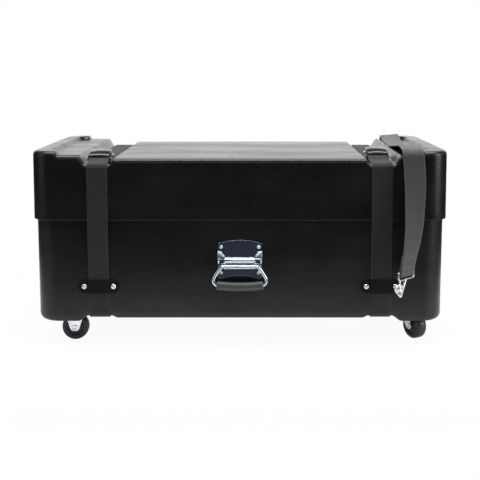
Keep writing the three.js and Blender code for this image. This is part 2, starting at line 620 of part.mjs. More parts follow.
// Handle: back plate, bracket that holds the bail's bar, bail and grip
const plateBackY = -bodyHalfY - gap
const plateFaceY = plateBackY - handlePlateThick
const bailY = -bodyHalfY - bailStandOff
function makeHandle () {
  const half = handlePlateHalfX
  const low = handlePlateLowZ
  const high = handlePlateHighZ
  const outline = new THREE.Shape()
  outline.moveTo(-half + 1, low + 4)
  outline.quadraticCurveTo(-half + 2, low, -half + 7, low)
  outline.quadraticCurveTo(-half + 14, low + 1, -half + 22, handlePlateLowArchZ - 1.4)
  outline.quadraticCurveTo(0, handlePlateLowArchZ + 1.4, half - 22, handlePlateLowArchZ - 1.4)
  outline.quadraticCurveTo(half - 14, low + 1, half - 7, low)
  outline.quadraticCurveTo(half - 2, low, half - 1, low + 4)
  outline.lineTo(half, high - 2)
  outline.quadraticCurveTo(half - 1, high + 2, half - 6, high + 2.4)
  outline.quadraticCurveTo(0, 2 * handlePlateHighArchZ - high - 2.4, -half + 6, high + 2.4)
  outline.quadraticCurveTo(-half + 1, high + 2, -half, high - 2)
  const holes = handleRivets.map(({ x, z }) =>
    cylinder(rivetShankR * 0.75 + pinPlay, -5, 5, 'y', 12).translate([x, plateFaceY, z]))
  add('handle_plate', cut(alongY(outline, plateFaceY, plateBackY), ...holes), zincSteel)

  // Bracket: a band on the plate with a lug at each end, a bead over the bar and a tongue under it
  const face = plateFaceY - gap
  const r = bailRodR + gap + sheetThick / 2
  const beadZ = bracketHighZ - sheetThick / 2 - beadR
  const tongueZ = bailPivotZ - r
  const band = new THREE.Shape()
  band.moveTo(-hoodHalfX, tongueZ - sheetThick / 2)
  band.lineTo(hoodHalfX, tongueZ - sheetThick / 2)
  band.lineTo(hoodHalfX, lugHighZ - bracketFootDrop)
  band.lineTo(half, lugHighZ - bracketFootDrop)
  band.lineTo(half, lugHighZ)
  band.lineTo(lugInnerX, lugHighZ)
  band.quadraticCurveTo(hoodHalfX + 1, bracketHighZ + 7, hoodHalfX - 1, bracketHighZ)
  band.lineTo(-hoodHalfX + 1, bracketHighZ)
  band.quadraticCurveTo(-hoodHalfX - 1, bracketHighZ + 7, -lugInnerX, lugHighZ)
  band.lineTo(-half, lugHighZ)
  band.lineTo(-half, lugHighZ - bracketFootDrop)
  band.lineTo(-hoodHalfX, lugHighZ - bracketFootDrop)
  const beadLine = [
    ...arc(face - beadR, beadZ, beadR, 90, 270, 6).map(([y, z]) => [Math.min(y, face - sheetThick / 2), z]),
    [face - sheetThick / 2, beadZ - beadR]
  ]
  const tongueLine = [[face - sheetThick / 2, tongueZ], [bailY + 1.5, tongueZ], ...arc(bailY, bailPivotZ, r, 262, 206, 3)]
  const curl = cylinder(curlR, curlInnerX, half, 'x', 12).translate([0, face - curlR, bailPivotZ + curlRise])
  const curlWeb = box(curlInnerX, half, face - sheetThick, face, bailPivotZ + 6, lugHighZ - earDrop)
  const ears = join(curl, curlWeb)
  add('handle_bracket', join(alongY(band, face - sheetThick, face),
    alongX(ribbonOutline(beadLine, sheetThick), -hoodHalfX + 1, hoodHalfX - 1),
    alongX(ribbonOutline(tongueLine, sheetThick), -hoodHalfX, hoodHalfX), ears, ears.mirror([1, 0, 0])), zincSteel)

  for (const [n, { x, z }] of handleRivets.entries()) {
    const made = wallRivet(-plateFaceY + gap, 3.2, 1.6, rivetShankR * 0.75)
    add(`handle_rivet_${n + 1}`, made.mirror([0, 1, 0]).translate([x, 0, z]), rivetSteel)
  }

  // Bail: a rod from the middle of the grip, up, across and down again
  const gripZ = bailPivotZ - bailDrop
  const endZ = gripZ + gripSag
  const half2 = bailHalfX
  const right = [
    [0.6, bailY, gripZ], [22, bailY, gripZ + gripSag * 0.25], [38, bailY, gripZ + gripSag * 0.76],
    [gripHalfX, bailY, endZ + 0.4], [half2 - 1, bailY, endZ + 4.4], [half2, bailY, endZ + 10.5],
    [half2 - 1.6, bailY, endZ + 15], [bailBarHalf + 6.6, bailY, bailPivotZ - 4.2],
    [bailBarHalf + 3.2, bailY, bailPivotZ - 0.7], [bailBarHalf, bailY, bailPivotZ],
    [bailBarHalf * 0.5, bailY, bailPivotZ], [0, bailY, bailPivotZ]
  ]
  const left = right.slice(0, -1).reverse().map(([x, y, z]) => [-x, y, z])
  add('handle_bail', rod([...right, ...left], bailRodR, 8, 48), zincSteel)
  const gripCurve = new THREE.CatmullRomCurve3([
    [-gripHalfX, endZ + 0.4], [-38, gripZ + gripSag * 0.76], [-22, gripZ + gripSag * 0.25], [0, gripZ],
    [22, gripZ + gripSag * 0.25], [38, gripZ + gripSag * 0.76], [gripHalfX, endZ + 0.4]
  ].map(([x, z]) => new THREE.Vector3(x, bailY, z)), false, 'centripetal')
  const tube = new THREE.Shape()
  tube.absarc(0, 0, gripR, 0, 2 * Math.PI)
  const bore = new THREE.Path()
  bore.absarc(0, 0, bailRodR + 2 * gap, 0, 2 * Math.PI)
  tube.holes.push(bore)
  add('handle_grip', solid(new THREE.ExtrudeGeometry(tube, { steps: 10, curveSegments: 7, extrudePath: gripCurve })), gripRubber)
}
makeHandle()

// Wheels and axles, in a frame with the axle along Y
function makeWheel () {
  const half = wheelWidth / 2
  const bore = axleR + pinPlay
  const [edge, edgeWidth] = treadEdge
  return turned([
    [bore, -half - 1], [wheelHubR - 0.4, -half - 1], [wheelHubR, wheelWebSink - half],
    [wheelWebR, wheelWebSink - half], [wheelWebR + 1, -half], [wheelR - edge, -half],
    [wheelR, edgeWidth - half], [wheelR, half - edgeWidth], [wheelR - edge, half],
    [wheelWebR + 1, half], [wheelWebR, half - wheelWebSink],
    [wheelHubR, half - wheelWebSink], [wheelHubR - 0.4, half + 1], [bore, half + 1], [bore, -half - 1]
  ], 'y', 22)
}
function makeAxle () {
  const reach = forkInnerHalf + forkThick + gap
  const high = reach + axleHeadRise
  const end = sign => [[axleR, sign * reach], [axleHeadR, sign * reach], [axleHeadR, sign * (high - 0.6)],
    [axleR, sign * high], [axleBoreR, sign * high]]
  return turned([...end(-1).reverse(), ...end(1), end(-1)[4]], 'y', 12)
}
// A fork leg's outline: wide where it meets its plate, round about the axle
function legOutline (topLow, topHigh, topZ, axleX) {
  const r = legFootR
  const outline = new THREE.Shape()
  outline.moveTo(topHigh, topZ)
  outline.lineTo(topLow, topZ)
  outline.lineTo(axleX - r * 0.94, wheelR - r * 0.3)
  outline.absarc(axleX, wheelR, r, Math.PI * 1.1, Math.PI * 1.9)
  outline.lineTo(topHigh, topZ)
  return outline
}
const clenchZ = bodyFloorZ + gap
const riveted = (plate, spots, low) => join(plate, ...spots.map(({ x, y }) => turned([
  [0, low - casterRivetHeadRise], [casterRivetHeadR, low - casterRivetHeadRise / 3], [casterRivetHeadR, low],
  [rivetShankR, low], [rivetShankR, clenchZ], [rivetShankR * 1.8, clenchZ],
  [rivetShankR * 1.6, clenchZ + clenchRise], [0, clenchZ + clenchRise]
], 'z', 8).translate([x, y, 0])))
const plateHighZ = casterHeight - gap
const plateLowZ = plateHighZ - casterPlateThick

for (const { face, sign } of faces) {
  const fixed = new THREE.Group()
  fixed.position.set(fixedCasterX, sign * fixedCasterY, 0)
  pieces.add(fixed)
  const plate = riveted(roundedBlock(fixedPlateHalfX, fixedPlateHalfY, 5, plateLowZ, plateHighZ),
    plateRivetSpots(0, 0, fixedPlateHalfX, fixedPlateHalfY), plateLowZ)
  const leg = alongY(legOutline(-fixedLegHalf, fixedLegHalf, plateLowZ + 0.5, 0), -forkInnerHalf - forkThick, -forkInnerHalf)
  const axleHole = cylinder(axleR + pinPlay / 2, -far, far, 'y', 12).translate([0, 0, wheelR])
  add(`fixed_caster_${face}_bracket`, cut(join(plate, leg, leg.mirror([0, 1, 0])), axleHole), zincSteel, fixed)
  add(`fixed_caster_${face}_wheel`, makeWheel().translate([0, 0, wheelR]), wheelRubber, fixed)
  add(`fixed_caster_${face}_axle`, makeAxle().translate([0, 0, wheelR]), zincSteel, fixed)

  // Swivel caster: the plate carries the race and the kingpin, and the fork turns under it
  const mount = new THREE.Group()
  mount.position.set(swivelCasterX, sign * swivelCasterY, 0)
  pieces.add(mount)
  const crownHighZ = wheelR * 2 + wheelClearance + forkThick
  const [raceBoreR, raceLowR, raceHighR] = raceR
  const race = turned([[raceBoreR, crownHighZ + gap], [raceLowR, crownHighZ + gap], [raceHighR, plateLowZ - 1],
    [raceHighR, plateLowZ + 0.2], [raceBoreR, plateLowZ + 0.2], [raceBoreR, crownHighZ + gap]], 'z', 28)
  const swivelPlate = riveted(roundedBlock(swivelPlateHalfX, swivelPlateHalfY, 6, plateLowZ, plateHighZ),
    plateRivetSpots(0, 0, swivelPlateHalfX, swivelPlateHalfY), plateLowZ)
  const kingpinBore = cylinder(kingpinR + pinPlay / 2, crownHighZ, casterHeight, 'z', 20)
  add(`swivel_caster_${face}_plate`, cut(join(swivelPlate, race), kingpinBore), zincSteel, mount)
  const crownLowZ = crownHighZ - forkThick
  add(`swivel_caster_${face}_kingpin`, turned([
    [0, crownLowZ - 2.4], [5, crownLowZ - 2.4], [6.8, crownLowZ - gap], [kingpinR, crownLowZ - gap],
    [kingpinR, plateHighZ], [0, plateHighZ]
  ], 'z', 20), zincSteel, mount)
  const fork = new THREE.Group()
  fork.rotation.z = rad(sign < 0 ? frontSwivelAngle : backSwivelAngle)
  mount.add(fork)
  const crown = roundedBlock(forkCrownHalf, forkInnerHalf + forkThick, 6, crownLowZ, crownHighZ)
  const forkLeg = alongY(legOutline(...forkLegReach, crownLowZ + 1, swivelTrail),
    -forkInnerHalf - forkThick, -forkInnerHalf)
  const forkHole = cylinder(axleR + pinPlay / 2, -far, far, 'y', 12).translate([swivelTrail, 0, wheelR])
  add(`swivel_caster_${face}_fork`, cut(join(crown, forkLeg, forkLeg.mirror([0, 1, 0])),
    cylinder(kingpinR + pinPlay, 0, casterHeight, 'z', 20), forkHole), zincSteel, fork)
  add(`swivel_caster_${face}_wheel`, makeWheel().translate([swivelTrail, 0, wheelR]), wheelRubber, fork)
  add(`swivel_caster_${face}_axle`, makeAxle().translate([swivelTrail, 0, wheelR]), zincSteel, fork)
}

// The hook's bar in plan, and the turned frame that the hook and the strap's end are made in
const hookBarY = -lidHalfY - hookBarOut
const hookPlace = shape => shape.rotate([0, 0, hookTurn]).translate([hookBarX, hookBarY, 0])
const hookLoopR = hookRodR + gap + strapThick / 2

// Loose strap: over the back edge, along the lid, arched over its front edge and hanging in front,
// where it turns towards its hook. Each station is a point, its turn and its tilt in degrees.
function looseStations () {
  const out = gap + strapThick / 2
  const top = lidLobeZ + out
  const crest = lidLobeZ + looseCrestRise
  const backX = looseX + 7.5
  const crestX = looseX - 4
  const front = -lidHalfY
  const backEdge = arc(lidHalfY - lidEdgeR, lidRidgeZ - lidEdgeR, lidEdgeR + out, 0, 75, 5)
  const frontBend = arc(front, crest - looseFrontBend - 3, looseFrontBend, 105, 180, 6)
  const stations = [
    [backX, lidHalfY + out, lidLobeZ - looseTail, 0, 0],
    ...backEdge.map(([y, z], i) => [backX, y, z, 0, i]),
    [backX - 0.5, lidHalfY - 19, top + 5.4, 0, 9],
    [backX - 2, lidHalfY - 44, top + 3.4, 0, 6],
    [backX - 3.5, lidHalfY - 74, top + 0.6, 0, 1],
    [backX - 5, lidHalfY - 104, top, 0, 0],
    [looseX - 1, front + 187, top, 0, 0],
    [looseX - 2, front + 167, top + 0.8, 0, 0],
    [crestX + 0.3, front + 46, crest - 1.4, 0, 0],
    [crestX, front + 32, crest, 0, 0],
    [crestX, front + 18, crest - 0.5, 0, 0],
    ...frontBend.map(([y, z], i) => [crestX + 0.3 * i, y, z, 0, 0]),
    [looseX - 1, front - 14.5, lidRidgeZ - 24, 1, 0],
    [looseX + 1, front - 16.5, lidRidgeZ - 61, 5, 0],
    [looseX + 0.6, front - 19.5, lidRimZ + 23, 17, 0],
    [looseX - 0.5, front - 22, lidRimZ - 2, 24, 0],
    [looseX - 3.5, front - 24, hookBarZ + 63, 32, 0],
    [looseX - 8.5, front - 25, hookBarZ + 32, 41, 0]
  ].map(([x, y, z, turn, tilt]) => ({
    at: new THREE.Vector3(x, y, z),
    across: new THREE.Vector3(Math.cos(rad(turn)), Math.sin(rad(turn)), Math.sin(rad(tilt)))
  }))
  // The end turns round the hook's bar, in the hook's turned frame
  const bar = new THREE.Vector3(Math.cos(rad(hookTurn)), Math.sin(rad(hookTurn)), 0)
  const back = new THREE.Vector3(-bar.y, bar.x, 0)
  for (const [y, z] of [[-hookLoopR, hookBarZ + 5], ...arc(0, hookBarZ, hookLoopR, 180, 400, 8)]) {
    stations.push({ at: new THREE.Vector3(hookBarX, hookBarY, z).addScaledVector(back, y), across: bar })
  }
  return stations
}
add('loose_strap', sweptWebbing(looseStations(), looseWidth, strapThick), strapWebbing)

// Hook: a wire frame with the strap's bar and a V below it, and a jaw on a pin. It is made with its
// bar along X through the origin, then turned and placed.
const hookJawZ = hookBarZ - hookJawDrop
function makeHook () {
  const half = looseWidth / 2 + hookRodR + 1
  const lowBarZ = hookBarZ - hookLowBarDrop
  const tip = [hookTip[0], hookBarZ - hookTip[1]]
  const heelZ = hookJawZ - hookHeelDrop
  const heelX = hookJawX + 2
  const wire = points => rod(points.map(([x, z]) => [x, 0, z]), hookRodR, 8, 1)
  const bars = [
    [[-half, hookBarZ], [half, hookBarZ]],
    [[-half, lowBarZ], [half, lowBarZ]],
    [[-half, hookBarZ + 4], [-half, lowBarZ - 1]],
    [[half, hookBarZ + 2.5], [half, lowBarZ - 1]],
    [[-2, lowBarZ], tip],
    [tip, [heelX, heelZ]],
    [[heelX, heelZ], [heelX, hookJawZ]],
    [[heelX, hookJawZ], [heelX + 6, lowBarZ]]
  ]
  const bossHalf = 1.6
  const boss = cylinder(hookBossR, -bossHalf, bossHalf, 'y', 12).translate([hookJawX, 0, hookJawZ])
  const pinHole = cylinder(jawPinR + pinPlay / 2, -9, 9, 'y', 12).translate([hookJawX, 0, hookJawZ])
  add('hook_frame', hookPlace(cut(join(boss, ...bars.map(wire)), pinHole)), castNickel)

  // Jaw: a crescent with a ring for the pin, in front of the frame
  const jaw = new THREE.Shape()
  jaw.absarc(0, 0, jawRingR, rad(20), rad(150))
  jaw.quadraticCurveTo(-12.5, 7, -13.5, 4)
  jaw.quadraticCurveTo(-13, -4, -7, -9)
  jaw.quadraticCurveTo(-2, -12, 1.5, -12.4)
  jaw.quadraticCurveTo(-4, -8, -8.6, -3.5)
  jaw.quadraticCurveTo(-8.4, -4, -7, -4.5)
  jaw.absarc(0, 0, jawRingR, rad(214), rad(380))
  const jawBackY = -hookRodR - gap
  const jawFrontY = jawBackY - hookPlateThick
  const plate = alongY(jaw, jawFrontY, jawBackY)
  const rib = turned([[4.4, 0], [8, 0], [7.2, 1.6], [5.2, 1.6], [4.4, 0]], 'y', 12)
    .mirror([0, 1, 0]).translate([0, jawFrontY + 0.2, 0])
  const jawHole = cylinder(jawPinR + pinPlay / 2, -20, 9, 'y', 12)
  add('hook_jaw', hookPlace(cut(join(plate, rib), jawHole).translate([hookJawX, 0, hookJawZ])), castNickel)
  const backY = bossHalf + gap
  const frontY = jawFrontY - gap
  add('hook_pin', hookPlace(turned([
    [0, frontY - 1.4], [2, frontY - 1.4], [jawPinHeadR, frontY - 0.5], [jawPinHeadR, frontY],
    [jawPinR, frontY], [jawPinR, backY], [jawPinHeadR, backY], [2.6, backY + 1.2], [0, backY + 1.2]
  ], 'y', 12).translate([hookJawX, 0, hookJawZ])), castNickel)
}
makeHook()

export default accessoryCase
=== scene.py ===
"""Black hard-shell accessory case on casters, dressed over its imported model.

The frame is in metres, +X to the right, +Y to the back, +Z up, with the floor at Z 0. Pieces are
modelled in millimetres in the same directions, and finish_piece brings them to metres.
"""

import json
import math

import bmesh
import bpy
from mathutils import Matrix, Vector

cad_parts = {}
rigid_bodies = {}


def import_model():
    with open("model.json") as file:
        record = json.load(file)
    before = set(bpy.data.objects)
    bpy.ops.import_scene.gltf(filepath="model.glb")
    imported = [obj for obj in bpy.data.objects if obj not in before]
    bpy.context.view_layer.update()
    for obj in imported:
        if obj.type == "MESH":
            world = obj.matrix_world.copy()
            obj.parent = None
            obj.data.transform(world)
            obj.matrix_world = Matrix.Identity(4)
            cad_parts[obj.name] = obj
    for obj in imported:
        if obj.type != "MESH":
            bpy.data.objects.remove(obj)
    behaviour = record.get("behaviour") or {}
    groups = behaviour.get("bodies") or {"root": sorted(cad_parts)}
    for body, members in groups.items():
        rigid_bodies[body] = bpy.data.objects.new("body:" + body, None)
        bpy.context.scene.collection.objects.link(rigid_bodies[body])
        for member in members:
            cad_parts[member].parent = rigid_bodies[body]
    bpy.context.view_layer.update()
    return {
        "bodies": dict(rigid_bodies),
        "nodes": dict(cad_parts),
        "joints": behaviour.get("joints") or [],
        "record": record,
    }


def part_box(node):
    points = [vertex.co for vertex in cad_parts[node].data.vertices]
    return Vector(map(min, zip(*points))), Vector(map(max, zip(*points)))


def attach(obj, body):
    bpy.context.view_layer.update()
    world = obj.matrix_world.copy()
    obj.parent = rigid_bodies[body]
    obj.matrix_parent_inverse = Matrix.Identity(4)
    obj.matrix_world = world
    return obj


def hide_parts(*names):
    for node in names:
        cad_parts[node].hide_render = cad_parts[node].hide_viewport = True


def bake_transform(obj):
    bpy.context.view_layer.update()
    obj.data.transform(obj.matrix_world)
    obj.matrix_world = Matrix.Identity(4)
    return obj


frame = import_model()
MM = 0.001


def node_box(node):
    """A node's lowest and highest corners in millimetres."""
    low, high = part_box(node)
    return low / MM, high / MM


def node_middle(node):
    low, high = node_box(node)
    return (low + high) / 2


# Middle of the case and the outer sizes of its two shells, read from the frame
LID_LOW, LID_HIGH = node_box("lid_shell")
BODY_LOW, BODY_HIGH = node_box("body_shell")
CASE_Y = (LID_LOW.y + LID_HIGH.y) / 2
LID_HALF_X = (LID_HIGH.x - LID_LOW.x) / 2
LID_HALF_Y = (LID_HIGH.y - LID_LOW.y) / 2
BODY_HALF_X = (BODY_HIGH.x - BODY_LOW.x) / 2
BODY_HALF_Y = (BODY_HIGH.y - BODY_LOW.y) / 2

# Shells
GAP = 0.3
WALL = 3.0
CORNER_R = 42.0
LID_EDGE_R = 8.0
BODY_EDGE_R = 12.0
BODY_DRAFT = 2.0
LID_GROOVE_Z = 344.0
LID_MIDDLE_Z = 353.5
LID_LOBE_Z = 360.0
BODY_FLOOR_Z = 63.0
BODY_GROOVE_Z = 54.0
BODY_MIDDLE_Z = 50.0
CASTER_SEAT_Z = 60.0
LID_INNER_EDGE_R = 1.0
BODY_INNER_EDGE_R = 4.0
LIP_R = 0.9

# Strap grooves, and the slopes between the levels
STRAP_X = 264.0
STRAP_WIDTH = 38.0
STRAP_THICK = 2.0
STRAP_OUT = GAP + STRAP_THICK / 2
RIB_PITCH = 4.5
STRETCH = ("case", "lid", (0.0, 0.0, 0.127), (0.0, 0.0, 0.335))
GROOVE_INNER_X = 241.5
GROOVE_OUTER_X = 286.5
LID_MIDDLE_EDGE_X = 233.0
LID_LOBE_EDGE_X = 300.0
RIDGE_INNER_X = 343.0
RIDGE_SLOPE = 6.0
RIDGE_END_WIDTH = 29.0
RIDGE_SIDE_WIDTH = 20.0
RIDGE_CORNER_R = 36.0
BODY_MIDDLE_EDGE_X = 231.0
BODY_LOBE_EDGE_X = 305.0
BAY_X = (281.0, 371.0)
BAY_HALF_Y = 163.5
BAY_CORNER_R = 14.0
PANEL_CUTS = (0.0, 80.0, 160.0, 215.0)      # these keep the middle panel's long faces well shaped

# Keepers and rivets
KEEPER_Z = 113.0
KEEPER_LENGTH = 78.0
KEEPER_HEIGHT = 25.0
KEEPER_THICK = 1.8
KEEPER_HUMP = STRAP_THICK + 2 * GAP
KEEPER_RIVET_SPACING = 54.5
KEEPER_RIVET = (5.0, 2.6, 2.4)              # head's radius and rise, and shank's radius
HANDLE_RIVET = (3.3, 1.7, 1.8)

# Buckles
BUCKLE_INNER = 19.6
BUCKLE_CHEEK = 1.8
BUCKLE_BASE = 1.8
BUCKLE_BAR_R = 1.6
BUCKLE_BAR = (-22.8, 5.5)                   # from the buckle's middle, and above its underside
LEVER_PIN = (7.0, 10.4)
LEVER_HALF = 19.3
LEVER_SHEET = 1.8
CAM_R = 4.6
CAM_TEETH = 22

# Handle: depths are from the case's front face
HANDLE_HALF_X = 41.3
HANDLE_RIVETS = [(-35.0, 139.2), (35.0, 139.2), (-35.0, 188.2), (35.0, 188.2)]
HANDLE_PLATE_THICK = 1.5
BRACKET_SHEET = 1.4
BRACKET_BAND_Z = 164.2
HOOD_HALF_X = 29.3
LUG_Z = (168.4, 180.7)
LUG_LEAN = 0.36
BEAD_R = 4.4
BEAD_TOP_Z = 168.6
BAIL_PIVOT_Z = 152.6
BAIL_STAND_OFF = 10.5
BAIL_ROD_R = 3.2
GRIP_R = 8.8
GRIP_HALF_X = 43.6
GRIP_Z = 115.0
GRIP_SAG = 2.4
GRIP_RIB_PITCH = 2.9
GRIP_END = 2.6

# Casters
WHEEL_R = 25.4
FORK_INNER_HALF = 11.6
FORK_THICK = 2.0
FOOT_HALF = 7.0
FOOT_R = 6.2
SWIVEL_TRAIL = 20.0
PLATE_Z = (57.7, 59.7)
PLATE_RIVET_INSET = 7.0
FIXED_PLATE = (30, 23, 5)                   # half length, half width and corner radius
SWIVEL_PLATE = (31, 27, 6)
FIXED_LEG_TOP = (-20.5, 20.5)
FORK_LEG_TOP = (-11, 17)
CROWN_Z = (52.0, 54.0)

# Loose strap and hook
LOOSE_X = 321.0
LOOSE_WIDTH = 39.5
LOOSE_RIB_PITCH = 2.3
SEAM_INSET = 4.5
SEAM_SPAN = (9.0, 27.0)                     # up from where the loop round the bar begins
STITCH_PITCH = 3.2
THREAD_R = 0.42
HOOK_X = 306.7
HOOK_Y = LID_LOW.y - 22.2
HOOK_TURN = 44.0
HOOK_BAR_Z = 143.0
HOOK_ROD_R = 1.9
JAW_PIVOT = (-26.0, 121.5)
JAW_THICK = 4.2
JAW_RING_R = 8.2

SIDES = (("left", -1), ("right", 1))
TO_RIGHT = Vector((1.0, 0.0, 0.0))


# Shader maths: an expression on values adds its Math nodes


class Value:
    """A number on a material's surface, wrapped so that Python's operators make Math nodes."""

    def __init__(self, finish, socket):
        self.finish = finish
        self.socket = socket

    def maths(self, operation, *others):
        made = self.finish.node("ShaderNodeMath", {"operation": operation}, [self, *others])
        return Value(self.finish, made.outputs[0])

    def __add__(self, other):
        return self.maths("ADD", other)

    def __mul__(self, other):
        return self.maths("MULTIPLY", other)

    def __sub__(self, other):
        return self.maths("SUBTRACT", other)

    def __rsub__(self, other):
        return self.maths("MULTIPLY", -1.0).maths("ADD", other)

    __radd__ = __add__
    __rmul__ = __mul__

    def clamped(self):
        return self.maths("MAXIMUM", 0.0).maths("MINIMUM", 1.0)

    def wave(self, pitch):
        """0 to 1 and back, once in each pitch."""
        return (self * (2 * math.pi / pitch)).maths("SINE") * 0.5 + 0.5

    def between(self, low, high):
        """0 below low, 1 above high, smooth in between."""
        made = self.finish.node(
            "ShaderNodeMapRange",
            {"interpolation_type": "SMOOTHSTEP"},
            {"Value": self, "From Min": low, "From Max": high},
        )
        return Value(self.finish, made.outputs[0])


class Nodes:
    """A node tree, with one method that fills any socket and one that makes any node."""

    def __init__(self, tree):
        self.tree = tree

    def set(self, node, key, value):
        socket = node.inputs[key]
        if isinstance(value, Value):
            self.tree.links.new(value.socket, socket)
        elif isinstance(value, bpy.types.NodeSocket):
            self.tree.links.new(value, socket)
        elif socket.type == "RGBA":
            socket.default_value = (*value, 1.0)
        else:
            socket.default_value = value

    def node(self, kind, settings=None, inputs=None):
        made = self.tree.nodes.new(kind)
        for name, value in (settings or {}).items():
            setattr(made, name, value)
        pairs = inputs.items() if isinstance(inputs, dict) else enumerate(inputs or [])
        for key, value in pairs:
            self.set(made, key, value)
        return made


class Finish(Nodes):
    """A material. Its steady sockets are given by name, with an underscore for a space."""

    def __init__(self, name, **steady):
        self.material = bpy.data.materials.new(name)
        self.material.use_nodes = True
        super().__init__(self.material.node_tree)
        self.shader = self.tree.nodes["Principled BSDF"]
        for socket, value in steady.items():
            self.set(self.shader, socket.replace("_", " "), value)

    def place(self, scale=(1.0, 1.0, 1.0), uv=False):
        """Object coordinates, or the piece's own UV map in millimetres, stretched by a scale."""
        source = self.node("ShaderNodeTexCoord").outputs["UV" if uv else "Object"]
        return self.node("ShaderNodeMapping", None, {"Vector": source, "Scale": scale}).outputs[0]

    def noise(self, scale, detail=2.0, roughness=0.5, where=None):
        made = self.node(
            "ShaderNodeTexNoise",
            None,
            {"Vector": where or self.place(), "Scale": scale, "Detail": detail, "Roughness": roughness},
        )
        return Value(self, made.outputs["Fac"])

    def cells(self, scale):
        made = self.node("ShaderNodeTexVoronoi", None, {"Vector": self.place(), "Scale": scale})
        return Value(self, made.outputs["Distance"])

    def axis(self, name, uv=False):
        made = self.node("ShaderNodeSeparateXYZ", None, [self.place(uv=uv)])
        return Value(self, made.outputs[name])

    def mix(self, factor, first, second):
        made = self.node("ShaderNodeMix", {"data_type": "RGBA"}, {0: factor, 6: first, 7: second})
        return made.outputs[2]

    def bump(self, height, distance, strength):
        inputs = {"Height": height, "Distance": distance, "Strength": strength}
        self.set(self.shader, "Normal", self.node("ShaderNodeBump", None, inputs).outputs[0])

    def colour(self, value):
        self.set(self.shader, "Base Color", value)

    def rough(self, value):
        self.set(self.shader, "Roughness", value)


def shell_finish():
    """Moulded polyethylene with a fine leather grain, scuffed a little where it is handled."""
    finish = Finish("moulded_shell", Specular_IOR_Level=0.4)
    grain = 1.0 - finish.cells(620.0)
    pores = finish.noise(1500.0, 2.0)
    cloud = finish.noise(9.0, 4.0, 0.6)
    fine_cloud = finish.noise(140.0, 3.0, 0.55)
    scuff = finish.noise(55.0, 6.0, 0.75).between(0.66, 0.78)
    mottle = finish.noise(430.0, 3.0, 0.6).between(0.36, 0.66)
    wave = finish.noise(8.0, 2.0, 0.5)
    streaks = finish.noise(1.0, 3.0, 0.6, finish.place((3.5, 14.0, 14.0))).between(0.3, 0.75)
    shade = (0.65 * mottle + 0.35 * cloud.between(0.3, 0.7)).clamped()
    finish.colour(finish.mix(shade, (0.0018, 0.0018, 0.002), (0.0125, 0.0125, 0.0135)))
    finish.rough((0.2 + 0.05 * fine_cloud + 0.11 * streaks + 0.08 * scuff + 0.05 * mottle).clamped())
    finish.bump(0.55 * grain + 0.3 * pores + 0.6 * fine_cloud + 4.5 * wave, 0.00035, 0.55)
    return finish.material


def webbing_finish(name, thread, shadow, rib_pitch, half_width, sheen):
    """Ribbed webbing with a doubled selvedge. Its UV map is millimetres across and along."""
    finish = Finish(name, Sheen_Weight=sheen, Sheen_Roughness=0.5, Specular_IOR_Level=0.35)
    along = finish.axis("Y", uv=True)
    across = finish.axis("X", uv=True)
    edge = across.maths("ABSOLUTE").between(half_width * 0.86, half_width * 0.9)
    fuzz = finish.noise(900.0, 3.0, 0.6)
    cloud = finish.noise(28.0, 3.0)
    weave = (1.0 - edge) * along.wave(rib_pitch) + edge * 0.8
    warp = across.wave(2.4)
    weft = along.wave(1.1)
    shade = (0.6 * weave + 0.3 * warp + 0.12 * weft + 0.3 * fuzz + 0.2 * cloud - 0.26).clamped()
    finish.colour(finish.mix(shade, shadow, thread))
    finish.rough((0.72 + 0.2 * fuzz).clamped())
    finish.bump(0.5 * weave + 0.25 * warp + 0.15 * weft + 0.2 * fuzz, 0.0005, 0.8)
    return finish.material


def thread_finish():
    """Waxed sewing thread, twisted along its length."""
    finish = Finish("sewing_thread", Sheen_Weight=0.3, Specular_IOR_Level=0.4)
    twist = finish.noise(2600.0, 2.0)
    finish.colour(finish.mix(twist, (0.11, 0.11, 0.115), (0.24, 0.24, 0.25)))
    finish.rough((0.5 + 0.3 * twist).clamped())
    finish.bump(twist, 0.0002, 0.5)
    return finish.material


def hide_finish():
    """Black grained hide with a dull polish."""
    finish = Finish("keeper_hide", Specular_IOR_Level=0.14)
    grain = finish.cells(520.0)
    cloud = finish.noise(60.0, 4.0)
    finish.colour(finish.mix(cloud, (0.0025, 0.0025, 0.003), (0.007, 0.007, 0.0075)))
    finish.rough((0.5 + 0.2 * cloud).clamped())
    finish.bump(0.6 * grain + 0.4 * cloud, 0.0003, 0.5)
    return finish.material


def plated_finish(name, base, worn, roughness, spread):
    """Zinc or nickel plate with faint polishing lines and dull patches."""
    finish = Finish(name, Metallic=1.0)
    patch = finish.noise(70.0, 4.0, 0.6)
    lines = finish.noise(260.0, 2.0, 0.5, finish.place((1.0, 1.0, 7.0)))
    finish.colour(finish.mix(patch.between(0.45, 0.75), base, worn))
    finish.rough((roughness + spread * patch + 0.5 * spread * lines).clamped())
    finish.bump(lines * 0.5 + patch, 0.00012, 0.25)
    return finish.material


def grip_finish():
    """Black rubber with a faint bloom."""
    finish = Finish("grip_rubber", Specular_IOR_Level=0.5)
    cloud = finish.noise(90.0, 4.0)
    finish.colour(finish.mix(cloud, (0.036, 0.037, 0.04), (0.07, 0.072, 0.076)))
    finish.rough((0.26 + 0.16 * cloud).clamped())
    finish.bump(finish.noise(1400.0, 2.0), 0.0002, 0.4)
    return finish.material


def wheel_finish():
    """Dark moulded wheels, dusty where they touch the floor."""
    finish = Finish("wheel_tread", Specular_IOR_Level=0.5)
    dust = finish.noise(110.0, 5.0, 0.65).between(0.5, 0.8)
    finish.colour(finish.mix(dust, (0.011, 0.011, 0.013), (0.03, 0.03, 0.032)))
    finish.rough((0.34 + 0.25 * dust).clamped())
    finish.bump(finish.noise(700.0, 3.0), 0.00025, 0.4)
    return finish.material


